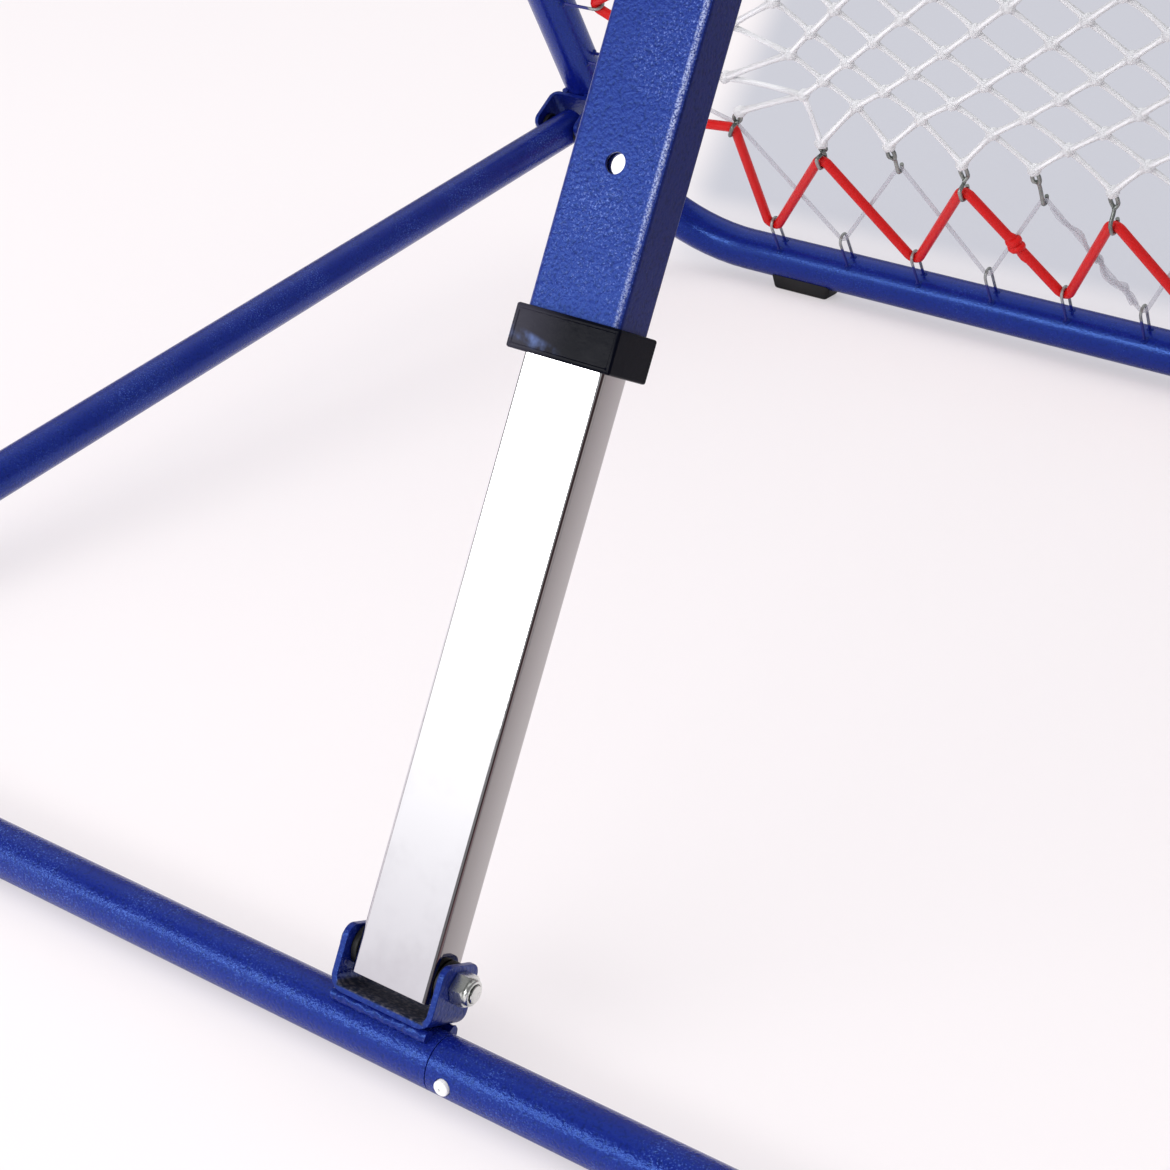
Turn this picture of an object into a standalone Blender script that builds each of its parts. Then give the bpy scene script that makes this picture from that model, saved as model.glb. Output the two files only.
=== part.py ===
# Tchoukball rebounder: a square net frame that leans back on a tube base,
# held by a telescopic strut with a row of adjusting holes.
#
# World frame: X runs along the rear crossbar, Y from the crossbar to the net
# frame's bottom rail, Z up.  The origin is on the floor under the middle of
# the whole rebounder.  Lengths are metres, angles degrees.

import math

import bmesh
import bpy
from mathutils import Matrix, Vector

# Clearances
GAP = 0.0003                 # between pieces that touch
OPEN_PIVOT_PLAY = 0.0017     # extra hole radius where the strut meets the top bolt

# Net frame
FRAME_SIZE = 1.000           # outside width and height of the square frame
FRAME_TUBE = 0.032
FRAME_WALL = 0.002
FRAME_BEND = 0.100           # centre-line radius of the four corners
NET_ANGLE = 55.5             # lean of the frame above the floor
RAIL_DISTANCE = 0.9316       # rear crossbar axis to bottom rail axis, along the floor
SEAM_OFFSET = 0.0295         # from the middle plane to the seams between tube halves

# Base
BASE_TUBE = 0.025
BASE_WALL = 0.0018
BASE_BEND = 0.090
TUBE_END_PAST_PIVOT = 0.008

# Sleeves that join the tube halves
SLEEVE_LENGTH = 0.110
SLEEVE_WALL = 0.0015
SNAP_BUTTON_DIAMETER = 0.0080
SNAP_BUTTON_RISE = 0.0022    # above the outer tube's surface
SNAP_FROM_SEAM = 0.0093
SNAP_FLANGE = 0.0012         # extra radius and thickness of the button's shoulder
SNAP_TRAVEL = 0.0040
BASE_BUTTON_ANGLE = 0.0      # below the rearward horizontal
SPRING_THICKNESS = 0.0006
SPRING_WIDTH = 0.0060
SPRING_LENGTH = 0.0320

# Bent plate brackets
PLATE = 0.003
PLATE_BEND = 0.004           # inside radius of the bends
EAR_ABOVE_PIVOT = 0.009
EAR_TOP_RADIUS = 0.004
EAR_FOOT_RADIUS = 0.009
STRUT_BRACKET_DEPTH = 0.026
FOOT_BRACKET_HEIGHT = 0.0165 # web's inner face to pivot
TOP_BRACKET_HEIGHT = 0.015
HINGE_BRACKET_DEPTH = 0.030
HINGE_BRACKET_HEIGHT = 0.019
HINGE_UP_POST = 0.153        # bottom rail axis to the hinge brackets, along the post
WELD = 0.0035                # leg of the weld fillets
SPACER_DIAMETER = 0.022
SPACER_THICKNESS = 0.003

# Bolts
BOLT = 0.008
HEX_FLATS = 0.013
HEAD_HEIGHT = 0.0053
NUT_HEX_HEIGHT = 0.0062
NUT_COLLAR_HEIGHT = 0.0020
NUT_COLLAR_DIAMETER = 0.0118
THREAD_PAST_NUT = 0.0022

# Telescopic strut
OUTER_WIDTH = 0.045
OUTER_DEPTH = 0.025
OUTER_WALL = 0.0015
OUTER_CORNER = 0.0030
RUNNING_CLEARANCE = 0.0010   # between the chrome tube and the outer tube's bore
INNER_WALL = 0.0015
INNER_CORNER = 0.0025
INNER_PAST_PIVOT = 0.0099
OUTER_PAST_PIVOT = 0.010
COLLAR_FROM_FOOT = 0.2573    # foot pivot to the collar's lower face
COLLAR_HEIGHT = 0.0188
COLLAR_WALL = 0.0026
COLLAR_LIP = 0.0030
COLLAR_CORNER = 0.0040
HOLE_DIAMETER = 0.0090
LOCK_HOLE = 0.1617           # collar's lower face to the hole that the button stands in
HOLE_PITCH = 0.080           # from that hole to the one below and the one above
STRUT_BUTTON_RISE = 0.0030
INNER_PAST_BUTTON = 0.042
GLIDE_LENGTH = 0.022
GLIDE_WALL = 0.0025
GLIDE_FLANGE = 0.0030

# Rubber feet under the bottom rail
FOOT_LENGTH = 0.054
FOOT_WIDTH = 0.024
FOOT_HEIGHT = 0.007          # floor to the underside of the rail
FOOT_SADDLE = 0.008          # how far the foot climbs the rail
FOOT_OFFSET = 0.332          # from the middle plane

# Lacing eyes, net, hooks and elastic cords
EYE_STEPS = 6                # steps from the middle of a side to its last eye
FIRST_EYE = 0.0485           # middle eye of a side to the next one
EYE_PITCH = 0.0605           # between the others
EYE_WIRE = 0.0030
EYE_FROM_RAIL = 0.0465       # rail axis to the middle of the eye's crown wire
NET_FROM_RAIL = 0.170        # rail axis to the net's edge, at the middle of a side
CORNER_FROM_RAIL = 0.147     # the same at the net's corners, which pull it out
NET_CORD = 0.0022
HOOK_WIRE = 0.0022
HOOK_FROM_RAIL = 0.1335      # rail axis to the middle of the hook's bow wire
CORNER_HOOK = 0.3520         # middle of the net to a corner hook's bow, in X and Y
HOOK_LEAN = 0.0052           # how far a hook's bow stands off the net's plane
RED_CORD = 0.0060
WHITE_CORD = 0.0032

# Facets
FRAME_SIDES = 12
BASE_SIDES = 12
BEND_STEPS = 6
BOLT_SIDES = 10

# Places worked out from the sizes above
FRAME_R = FRAME_TUBE / 2
BASE_R = BASE_TUBE / 2
HALF = FRAME_SIZE / 2 - FRAME_R
LEAN = math.radians(NET_ANGLE)
UP_SLOPE = Vector((0, -math.cos(LEAN), math.sin(LEAN)))
NET_NORMAL = Vector((0, -math.sin(LEAN), -math.cos(LEAN)))
BUTTON_TILT = math.radians(BASE_BUTTON_ANGLE)
BUTTON_REACH = BASE_R + SNAP_BUTTON_RISE
REAR_Y = -BUTTON_REACH * math.cos(BUTTON_TILT)
FRONT_Y = RAIL_DISTANCE + FRAME_R
CROSSBAR = Vector((0, -(REAR_Y + FRONT_Y) / 2, BASE_R))
RAIL = Vector((0, CROSSBAR.y + RAIL_DISTANCE, FOOT_HEIGHT + FRAME_R))
TOP_RAIL = RAIL + UP_SLOPE * 2 * HALF
HINGE_STANDOFF = FRAME_R + GAP + PLATE + HINGE_BRACKET_HEIGHT
HINGE = RAIL + UP_SLOPE * HINGE_UP_POST + NET_NORMAL * HINGE_STANDOFF
FRAME_TURN = math.pi - LEAN
BASE_TURN = math.atan2(HINGE.z - CROSSBAR.z, HINGE.y - CROSSBAR.y)
SIDE_LENGTH = (HINGE - CROSSBAR).length
STRUT_LINE = (TOP_RAIL - CROSSBAR).normalized()
STRUT_TURN = -math.atan2(STRUT_LINE.y, STRUT_LINE.z)
FOOT_PIVOT = CROSSBAR + STRUT_LINE * (BASE_R + GAP + PLATE + FOOT_BRACKET_HEIGHT)
TOP_PIVOT = TOP_RAIL - STRUT_LINE * (FRAME_R + GAP + PLATE + TOP_BRACKET_HEIGHT)
STRUT_LENGTH = (TOP_PIVOT - FOOT_PIVOT).length
OUTER_START = COLLAR_FROM_FOOT + COLLAR_LIP + GAP
INNER_WIDTH = OUTER_WIDTH - 2 * (OUTER_WALL + RUNNING_CLEARANCE)
INNER_DEPTH = OUTER_DEPTH - 2 * (OUTER_WALL + RUNNING_CLEARANCE)
BUTTON_HEIGHT = COLLAR_FROM_FOOT + LOCK_HOLE
INNER_TOP = BUTTON_HEIGHT + INNER_PAST_BUTTON
BOLT_HOLE_R = BOLT / 2 + GAP
FRAME_PLANE = -HINGE_STANDOFF
FRAME_MIDDLE = HALF - HINGE_UP_POST


def clear_scene():
    for item in list(bpy.data.objects):
        bpy.data.objects.remove(item, do_unlink=True)


def new_collection(name):
    group = bpy.data.collections.new(name)
    bpy.context.scene.collection.children.link(group)
    return group


def finish(name, colour, roughness, metallic=0.0):
    material = bpy.data.materials.new(name)
    material.use_nodes = True
    shader = material.node_tree.nodes["Principled BSDF"]
    shader.inputs["Base Color"].default_value = (*colour, 1.0)
    shader.inputs["Roughness"].default_value = roughness
    shader.inputs["Metallic"].default_value = metallic
    return material


clear_scene()
PARTS = new_collection("tchoukball_rebounder")
CUTTERS = new_collection("construction")

BLUE_PAINT = finish("blue_powder_coat", (0.028, 0.050, 0.300), 0.40)
CHROME = finish("bright_chrome", (0.80, 0.80, 0.82), 0.10, 1.0)
ZINC = finish("zinc_plating", (0.62, 0.62, 0.60), 0.35, 1.0)
SPRING_STEEL = finish("spring_steel", (0.45, 0.45, 0.46), 0.35, 1.0)
BUTTON_METAL = finish("button_metal", (0.85, 0.85, 0.84), 0.30, 1.0)
BLACK_PLASTIC = finish("black_plastic", (0.012, 0.012, 0.014), 0.30)
BLACK_RUBBER = finish("black_rubber", (0.015, 0.015, 0.015), 0.65)
RED_ELASTIC = finish("red_elastic", (0.62, 0.012, 0.012), 0.70)
WHITE_ELASTIC = finish("white_elastic", (0.66, 0.66, 0.70), 0.60)
NET_WHITE = finish("white_net_cord", (0.86, 0.86, 0.86), 0.75)


# Building blocks

def object_from_mesh(name, mesh, material=None):
    item = bpy.data.objects.new(name, mesh)
    if material is None:
        CUTTERS.objects.link(item)
        item.hide_render = True
        item.display_type = "WIRE"
    else:
        PARTS.objects.link(item)
        mesh.materials.clear()
        mesh.materials.append(material)
        mesh.shade_smooth()
        mesh.set_sharp_from_angle(angle=math.radians(35))
    return item


def object_from_bmesh(name, shape, material=None):
    mesh = bpy.data.meshes.new(name)
    shape.to_mesh(mesh)
    shape.free()
    return object_from_mesh(name, mesh, material)


def mesh_from_curve(curve):
    """Turn a curve into a closed mesh, with its caps welded on."""
    holder = bpy.data.objects.new("holder", curve)
    bpy.context.scene.collection.objects.link(holder)
    bpy.context.view_layer.update()
    graph = bpy.context.evaluated_depsgraph_get()
    mesh = bpy.data.meshes.new_from_object(holder.evaluated_get(graph))
    bpy.data.objects.remove(holder)
    bpy.data.curves.remove(curve)
    shape = bmesh.new()
    shape.from_mesh(mesh)
    bmesh.ops.remove_doubles(shape, verts=shape.verts, dist=1e-6)
    bmesh.ops.recalc_face_normals(shape, faces=shape.faces)
    shape.to_mesh(mesh)
    shape.free()
    return mesh


def tube_mesh(points, radius, sides, closed=False):
    curve = bpy.data.curves.new("tube", "CURVE")
    curve.dimensions = "3D"
    curve.bevel_depth = radius
    curve.bevel_resolution = sides // 2 - 2
    curve.use_fill_caps = not closed
    spline = curve.splines.new("POLY")
    spline.points.add(len(points) - 1)
    for point, place in zip(spline.points, points):
        point.co = (*place, 1.0)
    spline.use_cyclic_u = closed
    return mesh_from_curve(curve)


def prism_mesh(outlines, thickness, axes):
    """Extrude flat outlines; axes are where outline X, outline Y and the thickness go."""
    curve = bpy.data.curves.new("outline", "CURVE")
    curve.dimensions = "2D"
    curve.fill_mode = "BOTH"
    curve.extrude = thickness / 2
    for outline in outlines:
        spline = curve.splines.new("POLY")
        spline.points.add(len(outline) - 1)
        for point, (x, y) in zip(spline.points, outline):
            point.co = (x, y, 0.0, 1.0)
        spline.use_cyclic_u = True
    mesh = mesh_from_curve(curve)
    mesh.transform(Matrix(axes).transposed().to_4x4())
    return mesh


ALONG_X = ((0, 1, 0), (0, 0, 1), (1, 0, 0))
ALONG_Y = ((1, 0, 0), (0, 0, 1), (0, -1, 0))
ALONG_Z = ((1, 0, 0), (0, 1, 0), (0, 0, 1))


def arc(centre, radius, start, end, steps):
    angles = [start + (end - start) * step / steps for step in range(steps + 1)]
    return [(centre[0] + radius * math.cos(math.radians(angle)),
             centre[1] + radius * math.sin(math.radians(angle))) for angle in angles]


def rounded_rectangle(width, depth, radius, steps=3):
    x = width / 2 - radius
    y = depth / 2 - radius
    corners = ((x, y, 0), (-x, y, 90), (-x, -y, 180), (x, -y, 270))
    outline = []
    for corner_x, corner_y, start in corners:
        outline += arc((corner_x, corner_y), radius, start, start + 90, steps)
    return outline


def cylinder_mesh(radius, length, sides, axis="X", centre=(0, 0, 0)):
    shape = bmesh.new()
    bmesh.ops.create_cone(shape, cap_ends=True, segments=sides,
                          radius1=radius, radius2=radius, depth=length)
    turn = {"X": Matrix.Rotation(math.pi / 2, 4, "Y"),
            "Y": Matrix.Rotation(math.pi / 2, 4, "X"),
            "Z": Matrix.Identity(4)}[axis]
    bmesh.ops.transform(shape, matrix=Matrix.Translation(centre) @ turn, verts=shape.verts)
    mesh = bpy.data.meshes.new("cylinder")
    shape.to_mesh(mesh)
    shape.free()
    return mesh


def box_mesh(size, centre=(0, 0, 0)):
    shape = bmesh.new()
    bmesh.ops.create_cube(shape, size=1.0)
    bmesh.ops.scale(shape, vec=size, verts=shape.verts)
    bmesh.ops.translate(shape, vec=centre, verts=shape.verts)
    mesh = bpy.data.meshes.new("box")
    shape.to_mesh(mesh)
    shape.free()
    return mesh


def joined_mesh(meshes):
    shape = bmesh.new()
    for mesh in meshes:
        shape.from_mesh(mesh)
        bpy.data.meshes.remove(mesh)
    mesh = bpy.data.meshes.new("joined")
    shape.to_mesh(mesh)
    shape.free()
    return mesh


def turned(name, profile, steps, material, ring=False):
    """Turn a profile of (radius, height) points, given from top to bottom, about Z."""
    mesh = bpy.data.meshes.new(name)
    edges = [(i, i + 1) for i in range(len(profile) - 1)]
    if ring:
        edges.append((len(profile) - 1, 0))
    mesh.from_pydata([(radius, 0, height) for radius, height in profile], edges, [])
    item = object_from_mesh(name, mesh, material)
    screw = item.modifiers.new("turn", "SCREW")
    screw.steps = steps
    screw.render_steps = steps
    screw.use_merge_vertices = True
    screw.merge_threshold = 0.00001
    return item


def change(item, mesh, operation):
    """Join, cut or trim an object with a construction mesh, in the object's own frame."""
    tool = object_from_mesh(item.name + "_" + operation.lower(), mesh)
    tool.matrix_world = item.matrix_world
    tool.parent = item
    tool.matrix_parent_inverse = item.matrix_world.inverted()
    modifier = item.modifiers.new(operation.lower(), "BOOLEAN")
    modifier.operation = operation
    modifier.solver = "EXACT"
    modifier.object = tool
    return modifier


def place(item, location, turn_x=0.0, turn_after=None, parent=None):
    """Set an object's world place, then hang it on its parent."""
    matrix = Matrix.Translation(location) @ Matrix.Rotation(turn_x, 4, "X")
    if turn_after is not None:
        matrix = matrix @ turn_after
    if parent is not None:
        item.parent = parent
        item.matrix_parent_inverse = parent.matrix_world.inverted()
    item.matrix_world = matrix
    bpy.context.view_layer.update()
    return item


def pivot(name, location, turn_x, parent=None):
    empty = bpy.data.objects.new(name, None)
    empty.empty_display_size = 0.05
    PARTS.objects.link(empty)
    return place(empty, location, turn_x, None, parent)


# Tubes

def bore_points(points, overrun):
    """The same path, run a little past both ends."""
    first = Vector(points[0]) + (Vector(points[0]) - Vector(points[1])).normalized() * overrun
    last = Vector(points[-1]) + (Vector(points[-1]) - Vector(points[-2])).normalized() * overrun
    return [tuple(first)] + list(points[1:-1]) + [tuple(last)]


def base_path(side):
    """Half of the base, in its own plane: from the seam round the corner to the hinge."""
    seam = SEAM_OFFSET + side * GAP / 2
    bend = arc((side * (HALF - BASE_BEND), BASE_BEND), BASE_BEND, -90, 0, BEND_STEPS)
    if side < 0:
        middle = -(HALF - BASE_BEND)
        bend = [(2 * middle - x, y) for x, y in
                arc((middle, BASE_BEND), BASE_BEND, -90, 0, BEND_STEPS)]
    path = [(seam, 0.0)] + bend + [(side * HALF, SIDE_LENGTH + TUBE_END_PAST_PIVOT)]
    return [(x, y, 0.0) for x, y in path]


def base_tube(name, side, button_direction):
    path = base_path(side)
    item = object_from_mesh(name, tube_mesh(path, BASE_R, BASE_SIDES), BLUE_PAINT)
    change(item, tube_mesh(bore_points(path, 0.01), BASE_R - BASE_WALL, BASE_SIDES), "DIFFERENCE")
    hinge_hole = cylinder_mesh(BOLT_HOLE_R, 2 * BASE_TUBE, BOLT_SIDES, "X",
                               (side * HALF, SIDE_LENGTH, 0))
    change(item, hinge_hole, "DIFFERENCE")
    if side > 0:
        hole = cylinder_mesh(SNAP_BUTTON_DIAMETER / 2 + GAP, BASE_R, BOLT_SIDES, "Z",
                             (0, 0, BASE_R))
        hole.transform(button_direction)
        change(item, hole, "DIFFERENCE")
    return item


def frame_path(side):
    """Half of the net frame: top seam, upper corner, post, lower corner, bottom seam."""
    seam = SEAM_OFFSET + side * GAP / 2
    middle = HALF - FRAME_BEND
    upper = arc((middle, middle), FRAME_BEND, 90, 0, BEND_STEPS)
    lower = arc((middle, -middle), FRAME_BEND, 0, -90, BEND_STEPS)
    path = [(seam, HALF)]
    path += [(side * x, y) for x, y in upper + lower]
    path += [(seam, -HALF)]
    return [(x, y + FRAME_MIDDLE, FRAME_PLANE) for x, y in path]


def round_the_frame():
    """The four sides as (turn about the frame's middle, sign along the side)."""
    return [Matrix.Translation((0, FRAME_MIDDLE, FRAME_PLANE))
            @ Matrix.Rotation(math.radians(90) * quarter, 4, "Z") for quarter in range(4)]


def eye_place(step):
    """How far an eye lies from the middle of its side."""
    if step == 0:
        return 0.0
    return math.copysign(FIRST_EYE + (abs(step) - 1) * EYE_PITCH, step)


def eye_mesh(step):
    """A wire staple on the bottom side, standing square to the rail, for the cord."""
    x = eye_place(step)
    half = (RED_CORD + EYE_WIRE) / 2 + GAP
    root = -HALF + FRAME_R - FRAME_WALL / 2
    crown = -HALF + EYE_FROM_RAIL
    path = [(half, root), (half, crown - half * 0.5), (half * 0.6, crown),
            (-half * 0.6, crown), (-half, crown - half * 0.5), (-half, root)]
    return tube_mesh([(x, height, z) for z, height in path], EYE_WIRE / 2, 4)


def frame_tube(name, side, button_holes):
    path = frame_path(side)
    item = object_from_mesh(name, tube_mesh(path, FRAME_R, FRAME_SIDES), BLUE_PAINT)
    eyes = []
    for turn in round_the_frame():
        for step in range(-EYE_STEPS, EYE_STEPS + 1):
            middle = turn @ Vector((eye_place(step), -HALF, 0))
            if (middle.x - SEAM_OFFSET) * side > 0:
                eye = eye_mesh(step)
                eye.transform(turn)
                eyes.append(eye)
    change(item, joined_mesh(eyes), "UNION")
    change(item, tube_mesh(bore_points(path, 0.01), FRAME_R - FRAME_WALL, FRAME_SIDES),
           "DIFFERENCE")
    if side > 0:
        for direction in button_holes:
            hole = cylinder_mesh(SNAP_BUTTON_DIAMETER / 2 + GAP, FRAME_R, BOLT_SIDES, "Z",
                                 (0, 0, FRAME_R))
            hole.transform(direction)
            change(item, hole, "DIFFERENCE")
    return item


# Spliced joints: a sleeve inside both halves, with a sprung button

def sleeve(name, tube_r, tube_wall):
    outer = tube_r - tube_wall - GAP
    inner = outer - SLEEVE_WALL
    half = SLEEVE_LENGTH / 2
    profile = [(inner, half), (outer, half), (outer, -half), (inner, -half)]
    item = turned(name, profile, FRAME_SIDES, ZINC, ring=True)
    return item


def snap_spring_mesh(floor, ceiling):
    """A hairpin leaf: its upper leg lies under the button, its lower leg on the far wall."""
    bend = (ceiling - floor) * 0.18
    middle = (ceiling + floor) / 2
    loop = [(x + SPRING_LENGTH - bend, z + middle) for x, z in arc((0, 0), bend, 90, -90, 4)]
    start = -SNAP_BUTTON_DIAMETER / 2
    line = [(start, ceiling)] + [(-start, ceiling)] + loop + [(start, floor)]
    outline = []
    for index, (x, z) in enumerate(line):
        before = Vector(line[max(index - 1, 0)])
        after = Vector(line[min(index + 1, len(line) - 1)])
        along = (after - before).normalized()
        across = Vector((-along.y, along.x)) * SPRING_THICKNESS / 2
        outline.append((x + across.x, z + across.y))
        outline.insert(0, (x - across.x, z - across.y))
    return prism_mesh([outline], SPRING_WIDTH, ALONG_Y)


def snap_button(name, top, under, rise, diameter):
    """A domed button with a shoulder that stops it under the wall; Z points outward."""
    radius = diameter / 2
    shoulder = radius + SNAP_FLANGE
    dome = [(radius * math.sin(math.radians(angle)),
             top - rise * 0.6 * (1 - math.cos(math.radians(angle)))) for angle in (0, 45, 90)]
    profile = dome + [(radius, under), (shoulder, under),
                      (shoulder, under - SNAP_FLANGE), (0, under - SNAP_FLANGE)]
    return turned(name, profile, BOLT_SIDES, BUTTON_METAL)


def splice(prefix, tube_r, tube_wall, seam_matrix, parent):
    """Sleeve, button and leaf; the matrix puts X along the tube and Z where the button points."""
    tube = sleeve(prefix + "_sleeve", tube_r, tube_wall)
    along_x = Matrix.Rotation(math.radians(90), 4, "Y")
    hang(tube, seam_matrix @ along_x, parent)
    hole = cylinder_mesh(SNAP_BUTTON_DIAMETER / 2 + GAP, tube_r, BOLT_SIDES, "Z",
                         (0, 0, tube_r * 0.75))
    hole.transform(Matrix.Translation((SNAP_FROM_SEAM, 0, 0)))
    hole.transform(along_x.inverted())
    change(tube, hole, "DIFFERENCE")
    at_button = seam_matrix @ Matrix.Translation((SNAP_FROM_SEAM, 0, 0))
    bore = (tube_r - tube_wall - GAP - SLEEVE_WALL) * math.cos(math.pi / FRAME_SIDES)
    shoulder = SNAP_BUTTON_DIAMETER / 2 + SNAP_FLANGE
    under = math.sqrt(bore ** 2 - shoulder ** 2) - GAP
    button = snap_button(prefix + "_button", tube_r + SNAP_BUTTON_RISE, under,
                         SNAP_BUTTON_RISE, SNAP_BUTTON_DIAMETER)
    hang(button, at_button, parent)
    ceiling = under - SNAP_FLANGE - GAP - SPRING_THICKNESS / 2
    floor = -math.sqrt(bore ** 2 - (SPRING_WIDTH / 2) ** 2) + GAP + SPRING_THICKNESS / 2
    leaf = object_from_mesh(prefix + "_spring", snap_spring_mesh(floor, ceiling), SPRING_STEEL)
    hang(leaf, at_button, parent)


def hang(item, matrix, parent):
    item.parent = parent
    item.matrix_parent_inverse = parent.matrix_world.inverted()
    item.matrix_world = matrix
    for tool in item.children:
        tool.matrix_world = matrix
    bpy.context.view_layer.update()


# Brackets, bolts, nuts and spacers

def inner_width(tube_width):
    return tube_width + 2 * (SPACER_THICKNESS + 2 * GAP)


def bracket(name, tube_width, height, depth, under_r, under_axis):
    """A plate bent to a U; origin on the bolt's axis, Z from the web to the ears."""
    inside = inner_width(tube_width) / 2
    outside = inside + PLATE
    web = -height
    outer_bend = PLATE + PLATE_BEND
    right = arc((inside - PLATE_BEND, web + PLATE_BEND), outer_bend, -90, 0, 3)
    left = arc((-inside + PLATE_BEND, web + PLATE_BEND), outer_bend, 180, 270, 3)
    inner_left = arc((-inside + PLATE_BEND, web + PLATE_BEND), PLATE_BEND, 270, 180, 2)
    inner_right = arc((inside - PLATE_BEND, web + PLATE_BEND), PLATE_BEND, 0, -90, 2)
    top = EAR_ABOVE_PIVOT
    section = left + right + [(outside, top), (inside, top)]
    section += inner_right + inner_left + [(-inside, top), (-outside, top)]
    item = object_from_mesh(name, prism_mesh([section], depth, ALONG_Y), BLUE_PAINT)
    half = depth / 2
    low = web - PLATE - 0.001
    side_view = arc((half - EAR_TOP_RADIUS, top - EAR_TOP_RADIUS), EAR_TOP_RADIUS, 0, 90, 3)
    side_view += arc((-half + EAR_TOP_RADIUS, top - EAR_TOP_RADIUS), EAR_TOP_RADIUS, 90, 180, 3)
    side_view += [(-half, low), (half - EAR_FOOT_RADIUS, low)]
    side_view += arc((half - EAR_FOOT_RADIUS, web - PLATE + EAR_FOOT_RADIUS),
                     EAR_FOOT_RADIUS, -90, 0, 3)
    change(item, prism_mesh([side_view], 3 * outside, ALONG_X), "INTERSECT")
    bead_top = web - PLATE + 0.0005
    bead_low = web - PLATE - WELD
    bead_height = bead_top - bead_low
    bead_middle = (bead_top + bead_low) / 2
    bead_back = half - 0.0045
    bead_front = half - EAR_FOOT_RADIUS - 0.001
    bead_size = (2 * (inside - PLATE_BEND), bead_back + bead_front, bead_height)
    bead_centre = (0, (bead_front - bead_back) / 2, bead_middle)
    change(item, box_mesh(bead_size, bead_centre), "UNION")
    axis_z = web - PLATE - GAP - under_r
    seat_r = under_r + 0.8 * GAP
    tube = cylinder_mesh(seat_r, 6 * outside, 24, under_axis, (0, 0, axis_z))
    change(item, tube, "DIFFERENCE")
    change(item, cylinder_mesh(BOLT_HOLE_R, 4 * outside, BOLT_SIDES), "DIFFERENCE")
    return item


def bolt(name, grip, side):
    """A hex bolt across a bracket; its head is on the given side of the middle."""
    reach = grip / 2 + GAP + NUT_HEX_HEIGHT + NUT_COLLAR_HEIGHT + THREAD_PAST_NUT
    head_face = grip / 2 + GAP
    length = reach + head_face + HEAD_HEIGHT / 2
    shank = cylinder_mesh(BOLT / 2, length, BOLT_SIDES, "X",
                          (-side * (length / 2 - head_face - HEAD_HEIGHT / 2), 0, 0))
    item = object_from_mesh(name, shank, ZINC)
    head = cylinder_mesh(HEX_FLATS / math.sqrt(3), HEAD_HEIGHT, 6, "X",
                         (side * (head_face + HEAD_HEIGHT / 2), 0, 0))
    change(item, head, "UNION")
    return item


def nut(name, grip, side):
    """A nut with a nylon-insert collar on the outside."""
    face = grip / 2 + GAP
    hexagon = cylinder_mesh(HEX_FLATS / math.sqrt(3), NUT_HEX_HEIGHT, 6, "X",
                            (side * (face + NUT_HEX_HEIGHT / 2), 0, 0))
    item = object_from_mesh(name, hexagon, ZINC)
    collar_length = NUT_COLLAR_HEIGHT + 0.001
    collar_middle = face + NUT_HEX_HEIGHT + NUT_COLLAR_HEIGHT - collar_length / 2
    collar = cylinder_mesh(NUT_COLLAR_DIAMETER / 2, collar_length, BOLT_SIDES, "X",
                           (side * collar_middle, 0, 0))
    change(item, collar, "UNION")
    bore = cylinder_mesh(BOLT / 2 + GAP, 4 * HEX_FLATS, BOLT_SIDES, "X",
                         (side * face, 0, 0))
    change(item, bore, "DIFFERENCE")
    return item


def spacer(name):
    outer = SPACER_DIAMETER / 2
    half = SPACER_THICKNESS / 2
    profile = [(BOLT_HOLE_R, half), (outer, half), (outer, -half), (BOLT_HOLE_R, -half)]
    return turned(name, profile, 12, BLACK_PLASTIC, ring=True)


def pivot_joint(prefix, tube_width, place_x, location, turn_x, head_side, parent):
    """Bolt, nut and two spacers across a bracket."""
    grip = inner_width(tube_width) + 2 * PLATE
    at = Vector(location) + Vector((place_x, 0, 0))
    place(bolt(prefix + "_bolt", grip, head_side), at, turn_x, None, parent)
    place(nut(prefix + "_nut", grip, -head_side), at, turn_x, None, parent)
    offset = tube_width / 2 + GAP + SPACER_THICKNESS / 2
    on_x = Matrix.Rotation(math.radians(90), 4, "Y")
    for word, side in (("left", -1), ("right", 1)):
        ring = spacer(prefix + "_spacer_" + word)
        place(ring, at + Vector((side * offset, 0, 0)), turn_x, on_x, parent)


# Strut

def rectangle_tube(name, width, depth, wall, corner, start, end, material):
    outline = rounded_rectangle(width, depth, corner, 2)
    mesh = prism_mesh([outline], end - start, ALONG_Z)
    mesh.transform(Matrix.Translation((0, 0, (start + end) / 2)))
    item = object_from_mesh(name, mesh, material)
    inner_corner = max(corner - wall, 0.0006)
    inside = rounded_rectangle(width - 2 * wall, depth - 2 * wall, inner_corner, 2)
    bore = prism_mesh([inside], end - start + 0.02, ALONG_Z)
    bore.transform(Matrix.Translation((0, 0, (start + end) / 2)))
    change(item, bore, "DIFFERENCE")
    return item


def strut_inner_tube():
    item = rectangle_tube("strut_inner_tube", INNER_WIDTH, INNER_DEPTH, INNER_WALL,
                          INNER_CORNER, -INNER_PAST_PIVOT, INNER_TOP, CHROME)
    change(item, cylinder_mesh(BOLT_HOLE_R, 2 * INNER_WIDTH, BOLT_SIDES), "DIFFERENCE")
    hole = cylinder_mesh(HOLE_DIAMETER / 2, INNER_DEPTH, BOLT_SIDES, "Y",
                         (0, -INNER_DEPTH / 2, BUTTON_HEIGHT))
    change(item, hole, "DIFFERENCE")
    return item


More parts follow.
